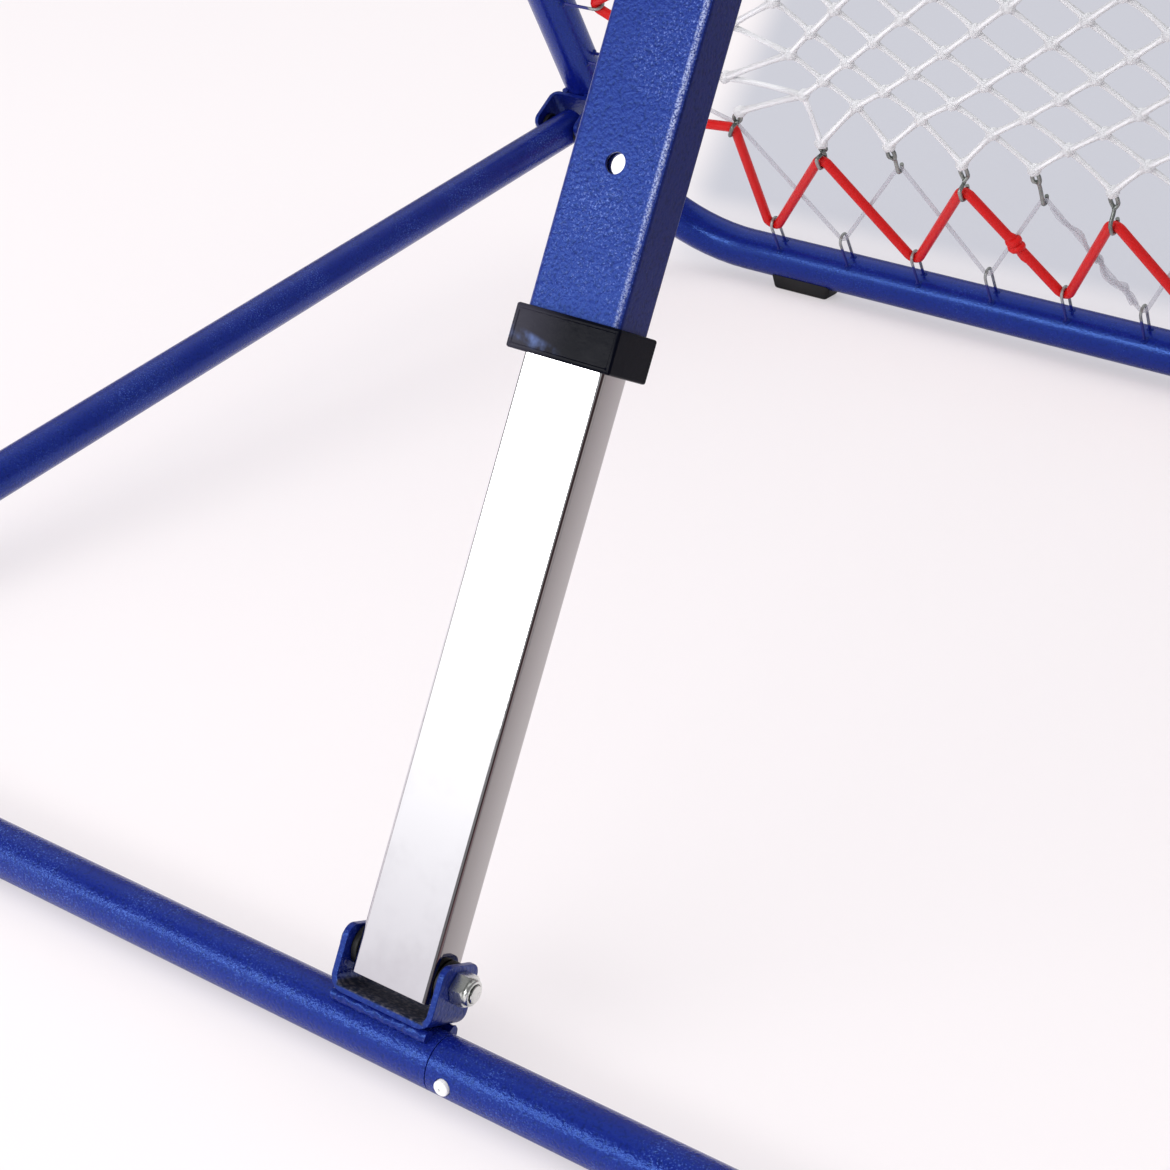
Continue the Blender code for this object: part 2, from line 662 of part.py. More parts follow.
def strut_outer_tube():
    item = rectangle_tube("strut_outer_tube", OUTER_WIDTH, OUTER_DEPTH, OUTER_WALL,
                          OUTER_CORNER, OUTER_START, STRUT_LENGTH + OUTER_PAST_PIVOT,
                          BLUE_PAINT)
    pivot_hole = cylinder_mesh(BOLT_HOLE_R + OPEN_PIVOT_PLAY, 2 * OUTER_WIDTH, 12, "X",
                               (0, 0, STRUT_LENGTH))
    change(item, pivot_hole, "DIFFERENCE")
    holes = []
    for count in (-1, 0, 1):
        height = BUTTON_HEIGHT + count * HOLE_PITCH
        holes.append(cylinder_mesh(HOLE_DIAMETER / 2, OUTER_DEPTH, BOLT_SIDES, "Y",
                                   (0, -OUTER_DEPTH / 2, height)))
    change(item, joined_mesh(holes), "DIFFERENCE")
    return item


def strut_collar():
    """The moulded cap on the outer tube's lower end, which guides the chrome tube."""
    width = OUTER_WIDTH + 2 * (COLLAR_WALL + GAP)
    depth = OUTER_DEPTH + 2 * (COLLAR_WALL + GAP)
    outline = rounded_rectangle(width, depth, COLLAR_CORNER)
    mesh = prism_mesh([outline], COLLAR_HEIGHT, ALONG_Z)
    mesh.transform(Matrix.Translation((0, 0, COLLAR_FROM_FOOT + COLLAR_HEIGHT / 2)))
    item = object_from_mesh("strut_collar", mesh, BLACK_PLASTIC)
    passage = prism_mesh([rounded_rectangle(INNER_WIDTH + 2 * GAP, INNER_DEPTH + 2 * GAP,
                                            INNER_CORNER, 2)], 3 * COLLAR_HEIGHT, ALONG_Z)
    passage.transform(Matrix.Translation((0, 0, COLLAR_FROM_FOOT)))
    change(item, passage, "DIFFERENCE")
    pocket = prism_mesh([rounded_rectangle(OUTER_WIDTH + 2 * GAP, OUTER_DEPTH + 2 * GAP,
                                           OUTER_CORNER, 2)], COLLAR_HEIGHT, ALONG_Z)
    floor = COLLAR_FROM_FOOT + COLLAR_LIP
    pocket.transform(Matrix.Translation((0, 0, floor + COLLAR_HEIGHT / 2)))
    change(item, pocket, "DIFFERENCE")
    return item


def strut_glide():
    """The plug in the chrome tube's top end, whose flange runs inside the outer tube."""
    bore_width = INNER_WIDTH - 2 * (INNER_WALL + GAP)
    bore_depth = INNER_DEPTH - 2 * (INNER_WALL + GAP)
    seat = INNER_TOP + GAP
    plug = prism_mesh([rounded_rectangle(bore_width, bore_depth, 0.001, 1)],
                      GLIDE_LENGTH, ALONG_Z)
    plug.transform(Matrix.Translation((0, 0, seat + 0.001 - GLIDE_LENGTH / 2)))
    item = object_from_mesh("strut_glide", plug, BLACK_PLASTIC)
    run_width = OUTER_WIDTH - 2 * (OUTER_WALL + GAP)
    run_depth = OUTER_DEPTH - 2 * (OUTER_WALL + GAP)
    flange = prism_mesh([rounded_rectangle(run_width, run_depth, OUTER_CORNER - OUTER_WALL, 2)],
                        GLIDE_FLANGE, ALONG_Z)
    flange.transform(Matrix.Translation((0, 0, seat + GLIDE_FLANGE / 2)))
    change(item, flange, "UNION")
    through = prism_mesh([rounded_rectangle(bore_width - 2 * GLIDE_WALL,
                                            bore_depth - 2 * GLIDE_WALL, 0.001, 1)],
                         3 * GLIDE_LENGTH, ALONG_Z)
    through.transform(Matrix.Translation((0, 0, INNER_TOP)))
    change(item, through, "DIFFERENCE")
    return item


def strut_lock(parent):
    """The sprung button in the chrome tube that stands in one of the outer tube's holes."""
    bore = INNER_DEPTH / 2 - INNER_WALL
    under = bore - GAP
    button = snap_button("strut_button", OUTER_DEPTH / 2 + STRUT_BUTTON_RISE, under,
                         STRUT_BUTTON_RISE, HOLE_DIAMETER - 2 * GAP)
    ceiling = under - SNAP_FLANGE - GAP - SPRING_THICKNESS / 2
    floor = -bore + GAP + SPRING_THICKNESS / 2
    leaf = object_from_mesh("strut_button_spring", snap_spring_mesh(floor, ceiling),
                            SPRING_STEEL)
    local = Matrix(((0, 1, 0, 0), (0, 0, -1, 0), (-1, 0, 0, BUTTON_HEIGHT), (0, 0, 0, 1)))
    for item in (button, leaf):
        hang(item, parent.matrix_world @ local, parent)


# Feet

def rail_foot(name):
    """A rubber pad saddled on the rail's underside; flat at the floor, ends drawn in."""
    half = FOOT_LENGTH / 2
    top = FOOT_HEIGHT + FOOT_SADDLE
    draw = 0.005
    side_view = [(-half + draw, 0), (half - draw, 0), (half, draw), (half, top - 0.002),
                 (half - 0.002, top), (-half + 0.002, top), (-half, top - 0.002), (-half, draw)]
    item = object_from_mesh(name, prism_mesh([side_view], FOOT_WIDTH, ALONG_Y), BLACK_RUBBER)
    rail = cylinder_mesh(FRAME_R + GAP, 2 * FOOT_LENGTH, 24, "X", (0, 0, FOOT_HEIGHT + FRAME_R))
    change(item, rail, "DIFFERENCE")
    return item


# Net, hooks and elastic cords

def net_node(column, row):
    """A knot of the diamond net, whose sides curve in; the last one is pulled to the corner."""
    last = 2 * EYE_STEPS
    if abs(column) == last - 1 and abs(row) == last - 1:
        column = math.copysign(last, column)
        row = math.copysign(last, row)
    step = (HALF - NET_FROM_RAIL) / last
    spread = (NET_FROM_RAIL - CORNER_FROM_RAIL) / last ** 3
    return (column * (step + spread * row ** 2), row * (step + spread * column ** 2), 0.0)


def net_mesh():
    last = 2 * EYE_STEPS
    shape = bmesh.new()
    knots = {}
    for column in range(-last, last + 1):
        for row in range(-last, last + 1):
            if (column + row) % 2 == 0 and not (abs(column) == last and abs(row) == last):
                knots[column, row] = shape.verts.new(net_node(column, row))
    for column in range(-last + 1, last):
        for row in range(-last + 1, last):
            if (column + row) % 2:
                shape.faces.new([knots[column + 1, row], knots[column, row + 1],
                                 knots[column - 1, row], knots[column, row - 1]])
    mesh = bpy.data.meshes.new("net")
    shape.to_mesh(mesh)
    shape.free()
    return mesh


def hook_mesh(knot, bow, half_width, lean, flat=0.6):
    """A wire hook from a knot of the net to its bow, which stands square to the net."""
    knot = Vector((knot[0], knot[1], 0))
    bow = Vector((bow[0], bow[1], 0))
    along = (bow - knot).normalized()
    up = Vector((0, 0, 1))
    middle = bow + up * lean
    path = [knot,
            middle - along * half_width + up * half_width,
            middle + up * half_width * flat,
            middle - up * half_width * flat,
            middle - along * half_width - up * half_width]
    return tube_mesh([tuple(point) for point in path], HOOK_WIRE / 2, 4)


def held_by_red(step):
    """Red runs through the even eyes and hangs in the odd hooks, white the other way."""
    return step % 2 == 1


def hook_half_width(cord_diameter):
    return (cord_diameter + HOOK_WIRE) / 2 + GAP


def net():
    item = object_from_mesh("net", net_mesh(), NET_WHITE)
    wire = item.modifiers.new("cords", "WIREFRAME")
    wire.thickness = NET_CORD
    wire.use_boundary = True
    wire.use_replace = True
    wire.use_even_offset = False
    hooks = []
    for quarter in range(4):
        turn = Matrix.Rotation(math.radians(90) * quarter, 4, "Z")
        for step in range(-EYE_STEPS + 1, EYE_STEPS):
            knot = net_node(2 * step, -2 * EYE_STEPS)
            red = held_by_red(step)
            width = hook_half_width(RED_CORD if red else WHITE_CORD)
            lean = HOOK_LEAN if red else -HOOK_LEAN
            hook = hook_mesh(knot, (knot[0], -HALF + HOOK_FROM_RAIL), width, lean)
            hook.transform(turn)
            hooks.append(hook)
        width = hook_half_width(RED_CORD + WHITE_CORD + GAP)
        knot = net_node(-2 * EYE_STEPS, -2 * EYE_STEPS)
        corner = hook_mesh(knot, (-CORNER_HOOK, -CORNER_HOOK), width, 0, 1.0)
        corner.transform(turn)
        hooks.append(corner)
    change(item, joined_mesh(hooks), "UNION")
    return item


def turning_points(before, wire, after, outward, distance, height):
    """Where a cord bends round a wire: two points on the wire's outward side."""
    outward = Vector(outward).normalized()
    along = Vector((-outward.y, outward.x, 0))
    if along.dot(Vector(after) - Vector(wire)) < 0:
        along = -along
    seat = Vector(wire) + outward * distance
    points = []
    for neighbour, direction in ((before, -along), (after, along)):
        leg = (Vector(neighbour) - seat).normalized()
        slope = math.acos(max(-1.0, min(1.0, leg.dot(direction))))
        reach = distance * math.tan(slope / 2) + GAP
        point = seat + direction * reach
        points.append((point.x, point.y, height))
    return points


def cord_wires(red):
    """The eyes and hooks that a cord bends round, in order: wire place, outward, height."""
    wires = []
    corner_height = (WHITE_CORD + GAP) / 2 if red else -(RED_CORD + GAP) / 2
    hook_height = HOOK_LEAN if red else -HOOK_LEAN
    for quarter in range(4):
        turn = Matrix.Rotation(math.radians(90) * quarter, 4, "Z")
        side = [((-CORNER_HOOK, -CORNER_HOOK, 0), (1, 1, 0), corner_height)]
        for step in range(-EYE_STEPS, EYE_STEPS + 1):
            if held_by_red(step) != red:
                place_in_eye = (eye_place(step), -HALF + EYE_FROM_RAIL, 0)
                side.append((place_in_eye, (0, -1, 0), 0.0))
            elif abs(step) < EYE_STEPS:
                x = net_node(2 * step, -2 * EYE_STEPS)[0]
                side.append(((x, -HALF + HOOK_FROM_RAIL, 0), (0, 1, 0), hook_height))
        for wire, outward, height in side:
            wires.append((turn @ Vector(wire), turn @ Vector(outward), height))
    return wires


def cord_points(red):
    """The cord's whole ring, bending round each eye and hook in turn."""
    diameter = RED_CORD if red else WHITE_CORD
    wires = cord_wires(red)
    count = len(wires)
    points = []
    for index, (wire, outward, height) in enumerate(wires):
        before = wires[index - 1][0]
        after = wires[(index + 1) % count][0]
        in_eye = height == 0.0
        wire_diameter = EYE_WIRE if in_eye else HOOK_WIRE
        distance = (diameter + wire_diameter) / 2 + GAP
        bend = turning_points(before, wire, after, outward, distance, height)
        at_corner = abs(outward.x * outward.y) > 0.1
        if at_corner and not red:
            bend = [between(wires[index - 1][0], wire)] + bend + [between(after, wire)]
        points += bend
    return points


def between(eye, hook):
    """The white cord dips halfway along its leg from a corner, to pass behind the red."""
    middle = (Vector(eye) + Vector(hook)) / 2
    return (middle.x, middle.y, -HOOK_LEAN / 2)


def cord(name, red, material):
    diameter = RED_CORD if red else WHITE_CORD
    mesh = tube_mesh(cord_points(red), diameter / 2, 4, closed=True)
    return object_from_mesh(name, mesh, material)


# Assembly

def along_tube(location, outward):
    """X along the tube, Z pointing outward, at a seam."""
    outward = Vector(outward).normalized()
    x_axis = Vector((1, 0, 0))
    y_axis = outward.cross(x_axis)
    matrix = Matrix((x_axis, y_axis, outward)).transposed().to_4x4()
    return Matrix.Translation(location) @ matrix


def build_base():
    root = pivot("base_origin", CROSSBAR, BASE_TURN)
    seam = along_tube(CROSSBAR + Vector((SEAM_OFFSET, 0, 0)),
                      (0, -math.cos(BUTTON_TILT), -math.sin(BUTTON_TILT)))
    button_place = root.matrix_world.inverted() @ seam @ Matrix.Translation(
        (SNAP_FROM_SEAM, 0, 0))
    for word, side in (("left", -1), ("right", 1)):
        tube = base_tube("base_" + word + "_tube", side, button_place)
        hang(tube, root.matrix_world.copy(), root)
    splice("base_splice", BASE_R, BASE_WALL, seam, root)
    foot = bracket("foot_bracket", INNER_WIDTH, FOOT_BRACKET_HEIGHT, STRUT_BRACKET_DEPTH,
                   BASE_R, "X")
    hang(foot, Matrix.Translation(FOOT_PIVOT) @ Matrix.Rotation(STRUT_TURN, 4, "X"), root)
    pivot_joint("foot", INNER_WIDTH, 0, FOOT_PIVOT, STRUT_TURN, -1, root)
    return root


def build_net_frame(root):
    frame = pivot("net_frame_pivot", HINGE, FRAME_TURN, root)
    seams = {}
    for word, sign in (("top", 1), ("bottom", -1)):
        local = Vector((SEAM_OFFSET, FRAME_MIDDLE + sign * HALF, FRAME_PLANE))
        world = frame.matrix_world @ local
        outward = -NET_NORMAL if word == "top" else -UP_SLOPE
        seams[word] = along_tube(world, outward)
    inverse = frame.matrix_world.inverted()
    step = Matrix.Translation((SNAP_FROM_SEAM, 0, 0))
    holes = [inverse @ seam @ step for seam in seams.values()]
    for word, side in (("left", -1), ("right", 1)):
        tube = frame_tube("frame_" + word + "_tube", side, holes)
        hang(tube, frame.matrix_world.copy(), frame)
    for word, seam in seams.items():
        splice("frame_" + word + "_splice", FRAME_R, FRAME_WALL, seam, frame)
    top = bracket("top_bracket", OUTER_WIDTH, TOP_BRACKET_HEIGHT, STRUT_BRACKET_DEPTH,
                  FRAME_R, "X")
    turned_over = STRUT_TURN + math.pi
    hang(top, Matrix.Translation(TOP_PIVOT) @ Matrix.Rotation(turned_over, 4, "X"), frame)
    pivot_joint("top", OUTER_WIDTH, 0, TOP_PIVOT, turned_over, -1, frame)
    for word, side in (("left", -1), ("right", 1)):
        prefix = word + "_hinge"
        ears = bracket(prefix + "_bracket", BASE_TUBE, HINGE_BRACKET_HEIGHT,
                       HINGE_BRACKET_DEPTH, FRAME_R, "Y")
        at = HINGE + Vector((side * HALF, 0, 0))
        hang(ears, Matrix.Translation(at) @ Matrix.Rotation(FRAME_TURN, 4, "X"), frame)
        pivot_joint(prefix, BASE_TUBE, side * HALF, HINGE, FRAME_TURN, side, frame)
        foot = rail_foot(word + "_rubber_foot")
        hang(foot, Matrix.Translation((side * FOOT_OFFSET, RAIL.y, 0)), frame)
    in_frame = frame.matrix_world @ Matrix.Translation((0, FRAME_MIDDLE, FRAME_PLANE))
    hang(net(), in_frame, frame)
    hang(cord("red_elastic", True, RED_ELASTIC), in_frame, frame)
    hang(cord("white_elastic", False, WHITE_ELASTIC), in_frame, frame)
    return frame


def build_strut(root):
    inner = pivot("strut_foot_pivot", FOOT_PIVOT, STRUT_TURN, root)
    for item in (strut_inner_tube(), strut_glide()):
        hang(item, inner.matrix_world.copy(), inner)
    strut_lock(inner)
    outer = pivot("strut_slide", FOOT_PIVOT, STRUT_TURN, inner)
    for item in (strut_outer_tube(), strut_collar()):
        hang(item, outer.matrix_world.copy(), outer)


BASE = build_base()
build_net_frame(BASE)
build_strut(BASE)
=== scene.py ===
# %% [markdown]
# # A tchoukball rebounder
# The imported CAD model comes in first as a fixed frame. Every visible piece is then modelled
# again around it with more detail, and rides on the same bodies, so that all of it leans and
# slides with the real joints. Lengths are in metres.

# %% The CAD frame
import math

import bmesh
import bpy
from mathutils import Matrix, Vector, noise


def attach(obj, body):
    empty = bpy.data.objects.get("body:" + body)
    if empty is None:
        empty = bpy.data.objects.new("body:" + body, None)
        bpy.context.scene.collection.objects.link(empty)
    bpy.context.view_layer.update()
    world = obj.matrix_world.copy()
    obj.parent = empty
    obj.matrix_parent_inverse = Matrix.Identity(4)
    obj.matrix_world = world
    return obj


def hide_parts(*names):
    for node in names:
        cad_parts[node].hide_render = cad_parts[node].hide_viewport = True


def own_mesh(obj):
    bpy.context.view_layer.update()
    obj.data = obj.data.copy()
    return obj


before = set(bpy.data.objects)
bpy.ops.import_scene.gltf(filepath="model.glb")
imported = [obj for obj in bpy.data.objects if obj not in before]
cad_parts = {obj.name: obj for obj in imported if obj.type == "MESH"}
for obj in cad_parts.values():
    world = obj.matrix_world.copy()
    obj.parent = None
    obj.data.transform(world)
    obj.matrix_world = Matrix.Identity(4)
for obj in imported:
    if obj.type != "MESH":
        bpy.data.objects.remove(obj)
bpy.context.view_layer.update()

# %% [markdown]
# The same few sizes fix every piece. They are the CAD source's own values: a net frame 1 m
# square of 32 mm tube, a base of 25 mm tube, and a strut of two rectangular tubes.

# %% Sizes
GAP = 0.0003
PLATE = 0.003
FRAME_R = 0.016
BASE_R = 0.0125
INNER_X, INNER_Y = 0.020, 0.010        # half widths of the strut's two tubes
OUTER_X, OUTER_Y = 0.0225, 0.0125
FOOT_EAR, TOP_EAR, HINGE_EAR = 0.0165, 0.015, 0.019    # from bracket plate to bolt
HALF = 0.484                           # middle of the net frame to a rail's axis
SEAM = 0.0295                          # middle plane to the seams of the tube halves
BUTTON_X = Vector((SEAM + 0.0093, 0, 0))
BOLT_HOLE_R = 0.0043
COLLAR_FROM_FOOT = 0.2573
LEAN = math.radians(55.5)
RAIL_DISTANCE = 0.9316
UP = Vector((0, -math.cos(LEAN), math.sin(LEAN)))
OUT = Vector((0, -math.sin(LEAN), -math.cos(LEAN)))
CROSSBAR = Vector((0, -0.46645, BASE_R))
RAIL = CROSSBAR + Vector((0, RAIL_DISTANCE, 0.0105))
TOP_RAIL = RAIL + UP * 2 * HALF
HINGE_STANDOFF = FRAME_R + GAP + PLATE + HINGE_EAR
HINGE = RAIL + UP * 0.153 + OUT * HINGE_STANDOFF
SIDE = HINGE - CROSSBAR
STRUT_LINE = (TOP_RAIL - CROSSBAR).normalized()
STRUT_TURN = -math.atan2(STRUT_LINE.y, STRUT_LINE.z)
FOOT_PIVOT = CROSSBAR + STRUT_LINE * (BASE_R + GAP + PLATE + FOOT_EAR)
TOP_PIVOT = TOP_RAIL - STRUT_LINE * (FRAME_R + GAP + PLATE + TOP_EAR)
STRUT_LENGTH = (TOP_PIVOT - FOOT_PIVOT).length
IN_BASE = Matrix.Translation(CROSSBAR) @ Matrix.Rotation(math.atan2(SIDE.z, SIDE.y), 4, "X")
IN_NET = Matrix.Translation(RAIL + UP * HALF) @ Matrix.Rotation(math.pi - LEAN, 4, "X")
IN_STRUT = Matrix.Translation(FOOT_PIVOT) @ Matrix.Rotation(STRUT_TURN, 4, "X")
AT_TOP = Matrix.Translation(TOP_PIVOT) @ Matrix.Rotation(STRUT_TURN + math.pi, 4, "X")
print("strut from pivot to pivot", round(STRUT_LENGTH, 4))

# %% [markdown]
# The camera was worked out from the straight edges in the photograph. It stands behind the
# rebounder on its right, and looks down along the crossbar's left half.

# %% Camera
CAMERA_PLACE = Vector((0.494974, -1.070642, 0.62815))
YAW, PITCH, ROLL = -0.58885, 0.47589, -0.03536
forward = Vector((math.sin(YAW) * math.cos(PITCH), math.cos(YAW) * math.cos(PITCH),
                  -math.sin(PITCH)))
level = Vector((math.cos(YAW), -math.sin(YAW), 0))
down = forward.cross(level)
right = math.cos(ROLL) * level + math.sin(ROLL) * down
bpy.ops.object.camera_add(location=CAMERA_PLACE)
camera = bpy.context.active_object
top_of_picture = right.cross(forward)
camera.rotation_euler = Matrix((right, top_of_picture, -forward)).transposed().to_euler()
camera.data.sensor_width = 36.0
camera.data.lens = 71.666
bpy.context.scene.camera = camera
bpy.context.scene.view_settings.view_transform = "Standard"

# %% [markdown]
# Shader nodes are many, so small helpers build them. A socket takes a value or another
# node's output, and each helper gives back its own output, ready for the next one.

# %% Node helpers


def put(socket, value):
    """Give a socket a number, a colour, a place or another node's output."""
    if isinstance(value, bpy.types.NodeSocket):
        socket.id_data.links.new(value, socket)
    elif socket.type == "RGBA":
        socket.default_value = (*value, 1.0)
    else:
        socket.default_value = value


def add_node(tree, kind, feeds=None, **settings):
    """A node with its settings, and its inputs fed by name or number."""
    node = tree.nodes.new(kind)
    column, row = divmod(len(tree.nodes), 5)
    node.location = (200 * column - 1400, 500 - 220 * row)
    for name, value in settings.items():
        setattr(node, name, value)
    for name, value in (feeds or {}).items():
        put(node.inputs[name], value)
    return node


def calculate(tree, operation, *values):
    return add_node(tree, "ShaderNodeMath", dict(enumerate(values)),
                    operation=operation).outputs[0]


def span(tree, value, low, high, to_low=0.0, to_high=1.0, kind="SMOOTHSTEP"):
    """Bring a value that runs from low to high to another range."""
    return add_node(tree, "ShaderNodeMapRange",
                    {"Value": value, "From Min": low, "From Max": high,
                     "To Min": to_low, "To Max": to_high}, interpolation_type=kind).outputs[0]


def mixed(tree, factor, first, second):
    return add_node(tree, "ShaderNodeMix", {"Factor": factor, "A": first, "B": second},
                    data_type="RGBA").outputs["Result"]


def xyz(tree, vector):
    return add_node(tree, "ShaderNodeSeparateXYZ", {0: vector}).outputs


def noise_node(tree, vector, scale, detail, rough=0.5):
    return add_node(tree, "ShaderNodeTexNoise", {"Vector": vector, "Scale": scale,
                                                 "Detail": detail, "Roughness": rough}
                    ).outputs["Fac"]


# %% [markdown]
# A white studio: a floor, a pale world, two soft lamps behind the object and a broad one
# above. Light Path lets the world look white to the camera and dim to the chrome, which
# mirrors the lamps instead, while it lights the object at a plain level.

# %% World and lamps
WORLD_LIGHT, WORLD_SEEN, LESS_IN_MIRRORS = 0.88, 0.97, 0.62

world = bpy.data.worlds.new("studio")
bpy.context.scene.world = world
world.use_nodes = True
sky = world.node_tree
sky_rays = add_node(sky, "ShaderNodeLightPath").outputs
sky_level = span(sky, sky_rays["Is Camera Ray"], 0.0, 1.0, WORLD_LIGHT, WORLD_SEEN, "LINEAR")
sky_strength = calculate(sky, "MULTIPLY_ADD", sky_rays["Is Glossy Ray"], -LESS_IN_MIRRORS,
                         sky_level)
put(sky.nodes["Background"].inputs["Color"], (1.0, 0.985, 0.99))
put(sky.nodes["Background"].inputs["Strength"], sky_strength)


def soft_lamp(name, place, aim, size, power, height=None):
    bpy.ops.object.light_add(type="AREA", location=place)
    lamp = bpy.context.active_object
    lamp.name = name
    lamp.data.shape = "RECTANGLE" if height else "DISK"
    lamp.data.size = size
    if height:
        lamp.data.size_y = height
    lamp.data.energy = power
    lamp.rotation_euler = (Vector(aim) - Vector(place)).to_track_quat("-Z", "Y").to_euler()


soft_lamp("rear_window", (-1.55, -2.95, 1.15), (0, -0.2, 0.3), 3.0, 26)
soft_lamp("rear_strip", (-0.75, -2.60, 1.12), (-0.1, 0.2, 0.1), 2.4, 27, 0.45)
bpy.ops.object.light_add(type="SUN", location=(0, 0, 3))
high_lamp = bpy.context.active_object
high_lamp.name = "high_soft_lamp"
high_lamp.data.energy = 0.57
high_lamp.data.angle = math.radians(70)
high_lamp.rotation_euler = (math.radians(-18), math.radians(-14), 0)
print("three lamps")

# %% [markdown]
# The photograph's floor is nearly white, and grey behind the net, with soft borders between
# the two. Smooth steps along the floor make that grey; the first step, in a band right under
# the bottom rail, is a painted shadow of the rail. Half of what the camera sees of the floor
# is its plain colour, so that the floor is even and still takes the object's shadow.

# %% Floor
FLOOR_COLOUR = (0.930, 0.888, 0.905)
FAR_FLOOR_AND_RAIL_SHADOW = (0.595, 0.605, 0.668)
RAIL_SHADOW_AND_GREY_STEPS = ((0.445, 0.490), (0.585, 0.655))
BORDER_ACROSS, BORDER_FROM, BORDER_TO = (0.905, 0.425, 0), -0.245, -0.195
PLAIN_SHARE = 0.5


def floor_grey_and_rail_shadow(tree):
    place = add_node(tree, "ShaderNodeTexCoord").outputs["Object"]
    depth = xyz(tree, place)["Y"]
    # The first step is a painted shadow under the bottom rail; the second greys the floor behind
    # the net.
    steps = [span(tree, depth, low, high, 0.0, 0.5) for low, high in RAIL_SHADOW_AND_GREY_STEPS]
    across = add_node(tree, "ShaderNodeVectorMath", {0: place, 1: BORDER_ACROSS},
                      operation="DOT_PRODUCT").outputs["Value"]
    border = span(tree, across, BORDER_FROM, BORDER_TO)
    grey_and_rail_shadow = calculate(tree, "MULTIPLY", calculate(tree, "ADD", *steps), border)
    return mixed(tree, grey_and_rail_shadow, FLOOR_COLOUR, FAR_FLOOR_AND_RAIL_SHADOW)


def make_paper():
    paper = bpy.data.materials.new("studio_paper")
    paper.use_nodes = True
    tree = paper.node_tree
    shader = tree.nodes["Principled BSDF"]
    tint = floor_grey_and_rail_shadow(tree)
    put(shader.inputs["Base Color"], tint)
    put(shader.inputs["Roughness"], 0.75)
    put(shader.inputs["Specular IOR Level"], 0.15)
    glow = add_node(tree, "ShaderNodeEmission", {"Color": tint, "Strength": 0.99})
    seen = add_node(tree, "ShaderNodeLightPath").outputs["Is Camera Ray"]
    both = add_node(tree, "ShaderNodeMixShader",
                    {0: calculate(tree, "MULTIPLY", seen, PLAIN_SHARE), 1: shader.outputs[0],
                     2: glow.outputs[0]})
    put(tree.nodes["Material Output"].inputs["Surface"], both.outputs[0])
    return paper


bpy.ops.object.select_all(action="DESELECT")
bpy.ops.mesh.primitive_plane_add(size=30)
studio_floor = bpy.context.active_object
studio_floor.name = "studio_floor"
studio_floor.data.materials.append(make_paper())

# %% [markdown]
# Effects that several finishes share are node groups: each takes a place on the surface and
# a scale, and gives back a mask or a height. Powder coat shows three of them: a fine orange
# peel, speckles of painted highlight where the grains would catch light, and a painted
# highlight along a corner.

# %% Shared effects


def new_group(name, numbers, results):
    """An empty effect, which takes a vector and numbers and gives numbers back."""
    group = bpy.data.node_groups.new(name, "ShaderNodeTree")
    group.interface.new_socket(name="Vector", in_out="INPUT", socket_type="NodeSocketVector")
    for socket, value in numbers.items():
        made = group.interface.new_socket(name=socket, in_out="INPUT",
                                          socket_type="NodeSocketFloat")
        made.default_value = value
    for socket in results:
        group.interface.new_socket(name=socket, in_out="OUTPUT", socket_type="NodeSocketFloat")
    given = add_node(group, "NodeGroupInput").outputs
    result = add_node(group, "NodeGroupOutput").inputs
    return group, given, result


def make_orange_peel():
    """Fine rolling texture of a powder coat, and the speckles where highlights are painted on
    it.
    """
    group, given, result = new_group("orange_peel", {"Scale": 900.0}, ("Height", "Speckle"))
    vector, scale = given["Vector"], given["Scale"]
    fine = calculate(group, "MULTIPLY", scale, 1.7)
    dots = span(group, noise_node(group, vector, fine, 3.0, 0.65), 0.53, 0.72)
    patches = span(group, noise_node(group, vector, 26.0, 3.0), 0.35, 0.68)
    put(result["Height"], noise_node(group, vector, scale, 2.0))
    put(result["Speckle"], calculate(group, "MULTIPLY", dots, patches))
    return group


def make_ridge_highlight_line():
    """A mask along a straight corner, for a painted highlight: distance in X and Y from a line
    that runs along Z.
    """
    group, given, result = new_group("ridge_highlight_line", {"X": 0.0, "Y": 0.0, "Width": 0.003},
                                     ("Mask",))
    parts = xyz(group, given["Vector"])
    away = {axis: calculate(group, "SUBTRACT", parts[axis], given[axis]) for axis in "XY"}
    flat = add_node(group, "ShaderNodeCombineXYZ", away).outputs[0]
    distance = add_node(group, "ShaderNodeVectorMath", {0: flat},
                        operation="LENGTH").outputs["Value"]
    near = span(group, distance, given["Width"], 0.0004)
    broken_up = span(group, noise_node(group, given["Vector"], 1300.0, 4.0, 0.7), 0.40, 0.62)
    put(result["Mask"], calculate(group, "MULTIPLY", near, broken_up))
    return group


# %% [markdown]
# The other effects are smudges that hands leave, the grain that a mould leaves, and the
# fibres that are wound into a cord.

# %% Smudges, grain and fibres


def make_handling():
    """Clouded smudges, as on a surface that hands touch."""
    group, given, result = new_group("handling", {"Scale": 14.0}, ("Smudge",))
    cloud = noise_node(group, given["Vector"], given["Scale"], 4.0, 0.6)
    put(result["Smudge"], span(group, cloud, 0.42, 0.72))
    return group


def make_moulding():
    """The faint grain of a moulded or plated surface, and wide clouds on it."""
    group, given, result = new_group("moulding", {"Scale": 700.0}, ("Height", "Cloud"))
    put(result["Height"], noise_node(group, given["Vector"], given["Scale"], 4.0, 0.6))
    put(result["Cloud"], noise_node(group, given["Vector"], 45.0, 3.0))
    return group


